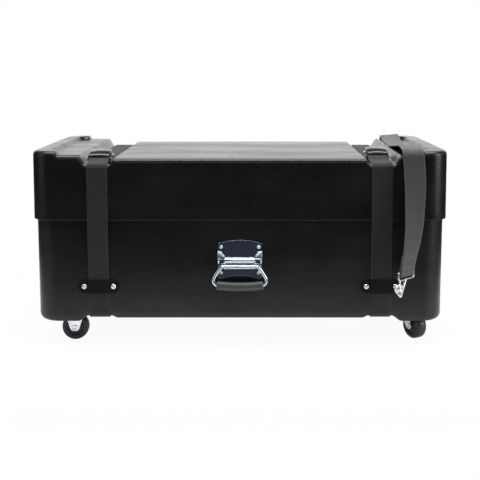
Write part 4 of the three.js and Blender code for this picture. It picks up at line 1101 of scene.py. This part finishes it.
def handle_bracket():
    """The pressed bracket: a band with two lugs, a bead over the bail's bar and a tongue under it."""
    face = 2 * GAP + HANDLE_PLATE_THICK
    half_sheet = BRACKET_SHEET / 2
    tongue_z = BAIL_PIVOT_Z - BAIL_ROD_R - GAP - half_sheet
    right_side = [
        (HOOD_HALF_X, tongue_z - half_sheet, 0.6), (HOOD_HALF_X, BRACKET_BAND_Z, 1.5),
        (HANDLE_HALF_X, BRACKET_BAND_Z, 1.0), (HANDLE_HALF_X, LUG_Z[1], 1.2), (36.5, LUG_Z[1], 1.2),
        (31.6, 176.8), (29.4, 173.6), (28.6, 170.6), (27.0, BEAD_TOP_Z, 1.5),
    ]
    outline = [*mirrored_outline(right_side[:1]), *right_side, *mirrored_outline(right_side[1:])]
    band = placed(plate(outline, BRACKET_SHEET, 0.45, 3), at(y=-face) @ FACING_FRONT)
    cut_across(band, 2, LUG_Z[0])
    for vert in band.verts:
        lug = smooth_step(abs(vert.co.x), 26.5, 29.0) * smooth_step(vert.co.z, 165.0, LUG_Z[0])
        vert.co.y -= lug * max(LUG_Z[1] - vert.co.z, 0.0) * LUG_LEAN
    bead_spots = arc((face + BEAD_R, BEAD_TOP_Z - half_sheet - BEAD_R), BEAD_R, 100, -100, 14)
    bead = face_strip(2 * HOOD_HALF_X - 2, [(max(out, face + half_sheet), z) for out, z in bead_spots])
    roof_r = BAIL_ROD_R + GAP + half_sheet
    tongue = face_strip(2 * HOOD_HALF_X, [
        (face + 0.9, tongue_z), (BAIL_STAND_OFF - 1.5, tongue_z),
        *arc((BAIL_STAND_OFF, BAIL_PIVOT_Z), roof_r, -82, -26, 6),
    ])
    bm = gathered(band, bead, tongue)
    curl_line = [Vector((x, 0.0, 0.0)) for x in (38.4, 39.6, 40.9)]
    for sign in (-1, 1):
        curl_place = Matrix.Diagonal((sign, 1.0, 1.0, 1.0)) @ at(0, -face - 3, BAIL_PIVOT_Z + 7.2)
        curl = placed(wire(curl_line, 3.0, 20, end_r=0.5), curl_place)
        web = placed(plate(rectangle(1.65, 5.0, 0.6), BRACKET_SHEET, 0.3),
                     at(sign * 39.65, -face, 162.5) @ FACING_FRONT)
        bm = gathered(bm, curl, web)
    bmesh.ops.recalc_face_normals(bm, faces=bm.faces)
    return bm


def grip_half_line():
    """Right half of the grip's middle line in X and Z, which sags from its ends."""
    return [
        (0, GRIP_Z), (22, GRIP_Z + GRIP_SAG * 0.25), (38, GRIP_Z + GRIP_SAG * 0.76),
        (GRIP_HALF_X, GRIP_Z + GRIP_SAG + 0.4),
    ]


def bail_rod():
    """A rod from the middle of the grip, up, across and down again."""
    end_z = GRIP_Z + GRIP_SAG
    right = [
        (0.6, GRIP_Z), *grip_half_line()[1:], (48, end_z + 4.4), (49, end_z + 10.5), (47.4, end_z + 15),
        (37.1, BAIL_PIVOT_Z - 4.2), (33.7, BAIL_PIVOT_Z - 0.7), (30.5, BAIL_PIVOT_Z), (15.2, BAIL_PIVOT_Z),
    ]
    round_trip = [*right, (0, BAIL_PIVOT_Z), *mirrored_outline(right)]
    points = through([Vector((x, -BAIL_STAND_OFF, z)) for x, z in round_trip], 5)
    return wire(points, BAIL_ROD_R, 18)


def grip_sleeve():
    """A sleeve with fine ribs and rounded ends."""
    step = 0.45
    half = grip_half_line()
    spots = [Vector((x, -BAIL_STAND_OFF, z)) for x, z in (*mirrored_outline(half[1:]), *half)]
    path = spaced(through(spots, 12), step)
    frames = []
    for n, frame in enumerate(frames_along(path)):
        inwards = min(min(n, len(path) - 1 - n) * step / GRIP_END, 1.0)
        rounding = 0.78 + 0.22 * math.sqrt(1 - (1 - inwards) ** 2)
        groove = 0.022 * inwards * (0.5 - 0.5 * math.cos(2 * math.pi * n * step / GRIP_RIB_PITCH))
        frames.append(scaled(frame, rounding * (1 - groove)))
    return sleeve(GRIP_R, BAIL_ROD_R + 0.95, frames)


def make_handle():
    front = at(y=CASE_Y - BODY_HALF_Y)
    back_plate = plate(handle_plate_outline(), HANDLE_PLATE_THICK, 0.5, 3)
    back_plate = placed(back_plate, front @ at(y=-GAP) @ FACING_FRONT)
    # The back plate wears the darker zinc copy, painted shade for its dark reflection.
    finish_piece("handle_back_plate", back_plate, "bright_zinc", "case", ["handle_plate"], material=SHADED_ZINC)
    finish_piece("handle_hood", placed(handle_bracket(), front), "bright_zinc", "case", ["handle_bracket"])
    for n, (x, z) in enumerate(HANDLE_RIVETS, 1):
        head = placed(rivet(HANDLE_PLATE_THICK + 2 * GAP, *HANDLE_RIVET), front @ at(x, 0, z) @ FACING_FRONT)
        finish_piece(f"handle_rivet_head_{n}", head, "rivet", "case", [f"handle_rivet_{n}"])
    finish_piece("handle_bail_rod", placed(bail_rod(), front), "bright_zinc", "bail", ["handle_bail"])
    finish_piece("handle_grip_sleeve", placed(grip_sleeve(), front), "grip", "bail", ["handle_grip"])


make_handle()


# Buckles


def cheek_outline():
    return [(-25, 0, 1.0), (25, 0, 1.0), (25, 6, 3.0), (15, 15, 8.0), (-4, 15, 14.0), (-25, 9.5, 2.5)]


def lever_line():
    """The lever's plate in Y and Z, from the finger's lip in front to its turned-down back edge."""
    return [
        (-24.6, 10.9), (-24.2, 12.6), (-22.6, 14.2), (-19.0, 15.4), (-12.0, 17.4), (-4.0, 19.0), (4.0, 19.9),
        (10.0, 20.1), (14.6, 19.5), (16.2, 18.4), (16.6, 16.9),
    ]


def cam_outline():
    """A round cam in Y and Z with small teeth that grip the webbing."""
    outline = []
    for n in range(2 * CAM_TEETH):
        radius = CAM_R + (0.35 if n % 2 else -0.35)
        angle = math.pi * n / CAM_TEETH
        outline.append((LEVER_PIN[0] + radius * math.cos(angle), LEVER_PIN[1] + radius * math.sin(angle)))
    return outline


def make_lever(side, place):
    """The cam lever: an arched plate with a lip, two arms and a toothed cam on the pin."""
    path = spaced(through([Vector((0.0, y, z)) for y, z in lever_line()], 6), 0.8)
    bm = swept(strip_outline(2 * LEVER_HALF, LEVER_SHEET, 14), frames_along(path, [TO_RIGHT] * len(path)))
    for vert in bm.verts:
        vert.co.z += 0.9 - 1.5 * (vert.co.x / LEVER_HALF) ** 2
    cam_width = 2 * LEVER_HALF - 0.4
    bm = gathered(bm, placed(plate(cam_outline(), cam_width, 0.25, 1), at(-cam_width / 2) @ ACROSS))
    pin_y, pin_z = LEVER_PIN
    arm = [
        (pin_y - 4, pin_z - 4, 3.0), (pin_y + 4, pin_z - 4, 3.0), (pin_y + 8.5, pin_z + 8.6, 1.0),
        (pin_y - 16, pin_z + 6.8, 2.0),
    ]
    for x in (-LEVER_HALF, LEVER_HALF - LEVER_SHEET):
        bm = gathered(bm, placed(plate(arm, LEVER_SHEET, 0.3), at(x) @ ACROSS))
    finish_piece(f"cam_lever_{side}", placed(bm, place), "buckle", f"{side}_lever", [f"buckle_{side}_lever"])


def make_buckle_frame(side, place):
    """A base plate between two cheeks, with a round bar across their front ends."""
    outer = BUCKLE_INNER + BUCKLE_CHEEK
    base_start = BUCKLE_BAR[0] + BUCKLE_BAR_R + 3.5
    base = [(-outer, base_start, 1.5), (outer, base_start, 1.5), (outer, 25, 1.5), (-outer, 25, 1.5)]
    bar_spots = [Vector((x, *BUCKLE_BAR)) for x in (-outer - 0.4, 0, outer + 0.4)]
    bm = gathered(plate(base, BUCKLE_BASE, 0.4), wire(bar_spots, BUCKLE_BAR_R, 16, end_r=0.6))
    for x in (-outer, BUCKLE_INNER):
        bm = gathered(bm, placed(plate(cheek_outline(), BUCKLE_CHEEK, 0.45, 3), at(x) @ ACROSS))
    finish_piece(f"buckle_cheeks_{side}", placed(bm, place), "buckle", "lid", [f"buckle_{side}_frame"])


def make_buckle_pin(side, place):
    end_x = BUCKLE_INNER + BUCKLE_CHEEK
    profile = [
        (0.0, end_x + 1.6), (1.6, end_x + 1.5), (2.6, end_x + 1.1), (3.0, end_x + 0.7), (3.0, end_x + GAP),
        (2.0, end_x + GAP),
    ]
    pin = placed(turned(mirrored_profile(profile), 24), place @ at(0, *LEVER_PIN) @ turn(90, "Y"))
    finish_piece(f"cam_pin_{side}", pin, "caster_zinc", "lid", [f"buckle_{side}_pin"])


def make_buckles():
    for side, _ in SIDES:
        place = Matrix.Translation(buckle_middle(side))
        make_buckle_frame(side, place)
        make_lever(side, place)
        make_buckle_pin(side, place)


make_buckles()


# Casters: fixed under the left end, swivelling under the right end


def on_axle(node, heading):
    """Stands a piece turned about Z on its side, at a node's middle and square to a caster's heading."""
    return Matrix.Translation(node_middle(node)) @ heading @ FACING_FRONT


def make_wheel(caster, body, heading):
    """A moulded wheel with a sunk web, rings and a rounded tread."""
    half_profile = [
        (3.4, 11.0), (7.6, 11.0), (8.2, 10.4), (8.6, 8.1), (9.4, 7.6), (12.2, 7.3), (12.6, 7.9),
        (13.3, 7.9), (13.7, 7.3), (15.4, 7.7), (16.3, 9.4), (17.0, 10.0), (18.9, 10.0), (19.2, 9.6),
        (19.9, 9.6), (20.2, 10.0), (22.0, 9.9), (23.6, 9.1), (24.8, 7.4), (25.3, 5.0), (WHEEL_R, 2.6),
    ]
    profile = [*mirrored_profile(half_profile), half_profile[0]]
    wheel = placed(turned(profile, 56), on_axle(f"{caster}_wheel", heading))
    finish_piece(f"{caster}_roller", wheel, "wheel", body, [f"{caster}_wheel"])


def make_axle(caster, body, heading):
    """A hollow rivet through both legs, its ends rolled over."""
    reach = FORK_INNER_HALF + FORK_THICK + GAP
    half_profile = [
        (2.3, 9.0), (2.5, reach - 1.0), (3.3, reach + 0.7), (3.7, reach + 1.3), (4.3, reach + 1.5),
        (5.0, reach + 1.1), (5.2, reach + 0.5), (5.0, reach), (3.0, reach),
    ]
    profile = [*mirrored_profile(half_profile), half_profile[0]]
    axle = placed(turned(profile, 28), on_axle(f"{caster}_axle", heading))
    finish_piece(f"{caster}_axle_rivet", axle, "caster_zinc", body, [f"{caster}_axle"])


def caster_plate(half_x, half_y, corner_r):
    """The plate that is riveted under the case, with its four rivets."""
    bm = placed(plate(rectangle(half_x, half_y, corner_r), PLATE_Z[1] - PLATE_Z[0], 0.5, 3), at(z=PLATE_Z[0]))
    inside = BODY_FLOOR_Z + GAP - PLATE_Z[0]
    profile = [
        (0.0, -1.9), (1.6, -1.8), (3.3, -1.3), (4.2, -0.6), (4.4, 0.0), (2.4, 0.0),
        (2.4, inside), (4.2, inside), (4.0, inside + 1.2), (0.0, inside + 1.4),
    ]
    rivet_x = half_x - PLATE_RIVET_INSET
    rivet_y = half_y - PLATE_RIVET_INSET
    for x, y in ((-rivet_x, -rivet_y), (-rivet_x, rivet_y), (rivet_x, -rivet_y), (rivet_x, rivet_y)):
        bm = gathered(bm, placed(turned(profile, 20), at(x, y, PLATE_Z[0])))
    return bm


def legs(top_x, foot_x, top_z):
    """A pair of legs that taper from their top to a round foot about the axle."""
    foot_z = WHEEL_R - FOOT_HALF
    outline = [
        (top_x[1], top_z, 0.5), (top_x[0], top_z, 0.5), (foot_x - FOOT_HALF, foot_z, FOOT_R),
        (foot_x + FOOT_HALF, foot_z, FOOT_R),
    ]
    fronts = (-FORK_INNER_HALF, FORK_INNER_HALF + FORK_THICK)
    return gathered(*(placed(plate(outline, FORK_THICK, 0.5, 3), at(y=y) @ FACING_FRONT) for y in fronts))


def make_fixed_caster(face):
    name = f"fixed_caster_{face}"
    middle = node_middle(f"{name}_wheel")
    bm = gathered(caster_plate(*FIXED_PLATE), legs(FIXED_LEG_TOP, 0.0, PLATE_Z[0] + 0.5))
    housing = placed(bm, at(middle.x, middle.y))
    finish_piece(f"{name}_housing", housing, "caster_zinc", "case", [f"{name}_bracket"])
    make_wheel(name, f"fixed_wheel_{face}", Matrix())
    make_axle(name, "case", Matrix())


def make_swivel_caster(face):
    name = f"swivel_caster_{face}"
    mount = node_middle(f"{name}_plate")
    trail = node_middle(f"{name}_wheel") - mount
    heading = Matrix.Rotation(math.atan2(trail.y, trail.x), 4, "Z")
    place = at(mount.x, mount.y)
    crown_low, crown_top = CROWN_Z
    race = turned([
        (7.0, crown_top + GAP), (14.0, crown_top + GAP), (15.4, crown_top + 0.6), (16.2, crown_top + 1.5),
        (16.4, crown_top + 2.4), (17.4, PLATE_Z[0] - 0.6), (17.6, PLATE_Z[0] + 0.3), (7.0, PLATE_Z[0] + 0.3),
        (7.0, crown_top + GAP),
    ], 44)
    top = placed(gathered(caster_plate(*SWIVEL_PLATE), race), place)
    finish_piece(f"{name}_top", top, "caster_zinc", "case", [f"{name}_plate"])
    kingpin = turned([
        (0.0, crown_low - 2.9), (2.6, crown_low - 2.8), (4.6, crown_low - 2.2), (6.0, crown_low - 1.2),
        (6.8, crown_low - GAP), (4.0, crown_low - GAP), (4.0, PLATE_Z[1]), (0.0, PLATE_Z[1]),
    ], 28)
    finish_piece(f"{name}_king_bolt", placed(kingpin, place), "caster_zinc", "case", [f"{name}_kingpin"])
    crown = plate(rectangle(15, FORK_INNER_HALF + FORK_THICK, 6), crown_top - crown_low, 0.6, 3)
    fork = gathered(placed(crown, at(z=crown_low)), legs(FORK_LEG_TOP, SWIVEL_TRAIL, crown_low + 1))
    yoke = placed(fork, place @ heading)
    finish_piece(f"{name}_yoke", yoke, "caster_zinc", f"fork_{face}", [f"{name}_fork"])
    make_wheel(name, f"swivel_wheel_{face}", heading)
    make_axle(name, f"fork_{face}", heading)


for face in ("front", "back"):
    make_fixed_caster(face)
    make_swivel_caster(face)


# Hook: its bar runs along X, above the origin, until the whole is turned and placed


HOOK_PLACE = at(HOOK_X, HOOK_Y) @ turn(HOOK_TURN, "Z")
JAW_PLACE = HOOK_PLACE @ at(JAW_PIVOT[0], 0, JAW_PIVOT[1]) @ FACING_FRONT


def bent(points, radius):
    """A line of the hook through (x, z) points, with the same radius at every bend."""
    return filleted([Vector((x, 0.0, z)) for x, z in points], radius)


def make_hook_frame():
    """A bar for the strap, a yoke round its ends, and an arm that comes back up to the jaw's boss."""
    half = LOOSE_WIDTH / 2 + HOOK_ROD_R + 1
    low_z = HOOK_BAR_Z - 9
    pivot_x, pivot_z = JAW_PIVOT
    bar = wire([Vector((x, 0.0, HOOK_BAR_Z)) for x in (-half, 0.0, half)], HOOK_ROD_R)
    yoke_line = [(-half, HOOK_BAR_Z + 4.4), (-half, low_z), (half, low_z), (half, HOOK_BAR_Z + 3.2)]
    yoke = wire(bent(yoke_line, 3.4), HOOK_ROD_R, 16, end_r=1.9)
    arm_line = [(-1.5, low_z + 0.6), (-17, 102.5), (-24, 109.6), (-24, pivot_z), (-18, low_z)]
    arm_points = bent(arm_line, 1.6)
    count = len(arm_points)
    widths = [1.42 - 0.42 * smooth_step(n, 0, count * 0.3) for n in range(count)]
    arm = wire(arm_points, HOOK_ROD_R, 16, widths, 1.2)
    boss = turned([
        (1.9, -1.6), (5.6, -1.6), (6.2, -1.0), (6.2, 1.0), (5.6, 1.6), (1.9, 1.6), (1.9, -1.6),
    ], 36)
    boss = placed(boss, at(pivot_x, 0, pivot_z) @ FACING_FRONT)
    bm = placed(gathered(bar, yoke, arm, boss), HOOK_PLACE)
    finish_piece("hook_wire_frame", bm, "hook", "lid", ["hook_frame"])


def make_hook_jaw():
    """A crescent with a ring round its pin."""
    outline = [
        *arc((0, 0), JAW_RING_R, 20, 150, 14), (-10.6, 6.6), (-12.5, 4.8), (-13.3, 1.6), (-12.4, -3.0),
        (-9.9, -6.8), (-6.6, -9.5), (-2.8, -11.6), (1.5, -12.4), (-1.8, -10.1), (-4.6, -7.6),
        *arc((0, 0), JAW_RING_R, 236, 380, 16)[:-1],
    ]
    collar = turned([
        (2.0, 3.9), (4.0, 3.9), (4.4, 4.3), (5.2, 5.7), (7.0, 5.7), (7.8, 4.2), (7.4, 3.4), (2.0, 3.4),
        (2.0, 3.9),
    ], 36)
    jaw = gathered(plate(outline, JAW_THICK, 1.3, 4), collar)
    jaw = placed(jaw, JAW_PLACE @ at(z=HOOK_ROD_R + GAP))
    finish_piece("hook_jaw_blade", jaw, "hook", "jaw", ["hook_jaw"])


def make_hook_pin():
    """A hollow-ended rivet through the boss and the jaw."""
    front = HOOK_ROD_R + JAW_THICK + 2 * GAP
    pin = turned([
        (0.0, front - 0.2), (0.9, front - 0.2), (1.2, front + 1.0), (1.8, front + 1.4), (2.7, front + 1.1),
        (3.2, front + 0.4), (3.2, front), (1.8, front), (1.8, -1.9), (3.2, -1.9), (3.1, -2.6), (2.4, -3.1),
        (0.0, -3.2),
    ], 32)
    finish_piece("hook_pin_rivet", placed(pin, JAW_PLACE), "hook", "lid", ["hook_pin"])


make_hook_frame()
make_hook_jaw()
make_hook_pin()

# The nodes that stand behind the pieces wear the same finishes
slots = {entry["node"]: entry["material_slot"] for entry in frame["record"]["subparts"]}
for node in frame["nodes"].values():
    node.data.materials.clear()
    node.data.materials.append(FINISHES[slots[node.name]])


# Stage


def area_light(name, place, aim, width, height, power):
    light = bpy.data.lights.new(name, "AREA")
    light.shape = "RECTANGLE"
    light.size = width
    light.size_y = height
    light.energy = power
    lamp = bpy.data.objects.new(name, light)
    lamp.location = place
    lamp.rotation_euler = (Vector(aim) - Vector(place)).to_track_quat("-Z", "Y").to_euler()
    bpy.context.scene.collection.objects.link(lamp)


def make_floor():
    """A pale floor, white in the picture and faintly shadowed near the case. Its colour is a painted pool of
    light, bright near the case and dark away from it, and near the case it glows onto the case, a painted
    bounce light.
    """
    finish = Finish("floor", Roughness=0.9, Specular_IOR_Level=0.0)
    far_x = finish.axis("X").maths("ABSOLUTE").between(0.62, 1.0)
    far_y = (finish.axis("Y") + 0.03).maths("ABSOLUTE").between(0.28, 0.6)
    far = far_x.maths("MAXIMUM", far_y)
    # Painted pool of light: the floor's colour is bright near the case and dark away from it
    finish.colour(finish.mix(far, (0.85, 0.85, 0.86), (0.06, 0.06, 0.063)))
    glow = finish.node("ShaderNodeEmission", None, {"Color": (1.0, 1.0, 1.0), "Strength": 1.0})
    seen = Value(finish, finish.node("ShaderNodeLightPath").outputs["Is Camera Ray"])
    # A white glow to the camera; to all other rays a glow near the case that fades away from it, painted
    # bounce light on the case's lower edges
    shown = seen * (0.95 + 0.05 * far) + (1.0 - seen) * (0.42 - 0.42 * far)
    mixed = finish.node("ShaderNodeMixShader", None, [shown, finish.shader.outputs[0], glow.outputs[0]])
    finish.set(finish.tree.nodes["Material Output"], "Surface", mixed.outputs[0])
    bm = bmesh.new()
    bmesh.ops.create_grid(bm, x_segments=1, y_segments=1, size=8.0)
    mesh = bpy.data.meshes.new("floor")
    bm.to_mesh(mesh)
    bm.free()
    mesh.materials.append(finish.material)
    floor = bpy.data.objects.new("floor", mesh)
    floor.location.z = -0.0002
    bpy.context.scene.collection.objects.link(floor)


def make_world():
    """White behind the case, and a dim grey studio in its reflections."""
    world = bpy.data.worlds.new("studio")
    bpy.context.scene.world = world
    world.use_nodes = True
    nodes = Nodes(world.node_tree)
    dim = nodes.tree.nodes["Background"]
    nodes.set(dim, "Color", (0.9, 0.93, 1.0))
    nodes.set(dim, "Strength", 0.06)
    white = nodes.node("ShaderNodeBackground", None, {"Color": (1.0, 1.0, 1.0), "Strength": 1.0})
    seen = nodes.node("ShaderNodeLightPath").outputs["Is Camera Ray"]
    mixed = nodes.node("ShaderNodeMixShader", None, [seen, dim.outputs[0], white.outputs[0]])
    nodes.set(nodes.tree.nodes["World Output"], "Surface", mixed.outputs[0])


make_floor()
make_world()
area_light("back_wall", (0.0, 3.0, 0.95), (0.0, 0.0, 0.3), 5.0, 1.7, 37.0)
area_light("overhead", (0.0, -0.1, 2.1), (0.0, 0.0, 0.3), 2.8, 1.2, 84.0)
area_light("front_wall", (0.2, -2.9, 1.55), (0.0, 0.0, 0.2), 2.4, 0.9, 9.0)
area_light("left_wall", (-2.2, -0.9, 0.9), (0.0, 0.0, 0.2), 1.0, 1.6, 6.0)
area_light("right_wall", (2.2, -0.9, 0.9), (0.0, 0.0, 0.2), 1.0, 1.6, 26.0)

# Camera: level in the photograph, here pitched a little so that other views stay in frame
FOCAL_PX = 891.6
FRAME_PX = 480.0
CAMERA_PLACE = (29.3, LID_LOW.y - 1634.4, 532.4)
CAMERA_PITCH = 5.285
LENS_SHIFT = (-0.0324, -0.2)


def make_camera():
    lens = bpy.data.cameras.new("camera")
    lens.sensor_width = 36.0
    lens.lens = FOCAL_PX / FRAME_PX * lens.sensor_width
    lens.shift_x, lens.shift_y = LENS_SHIFT
    camera = bpy.data.objects.new("camera", lens)
    camera.location = Vector(CAMERA_PLACE) * MM
    camera.rotation_euler = (math.radians(90 - CAMERA_PITCH), 0.0, 0.0)
    bpy.context.scene.collection.objects.link(camera)
    bpy.context.scene.camera = camera


make_camera()
bpy.context.scene.view_settings.view_transform = "Standard"
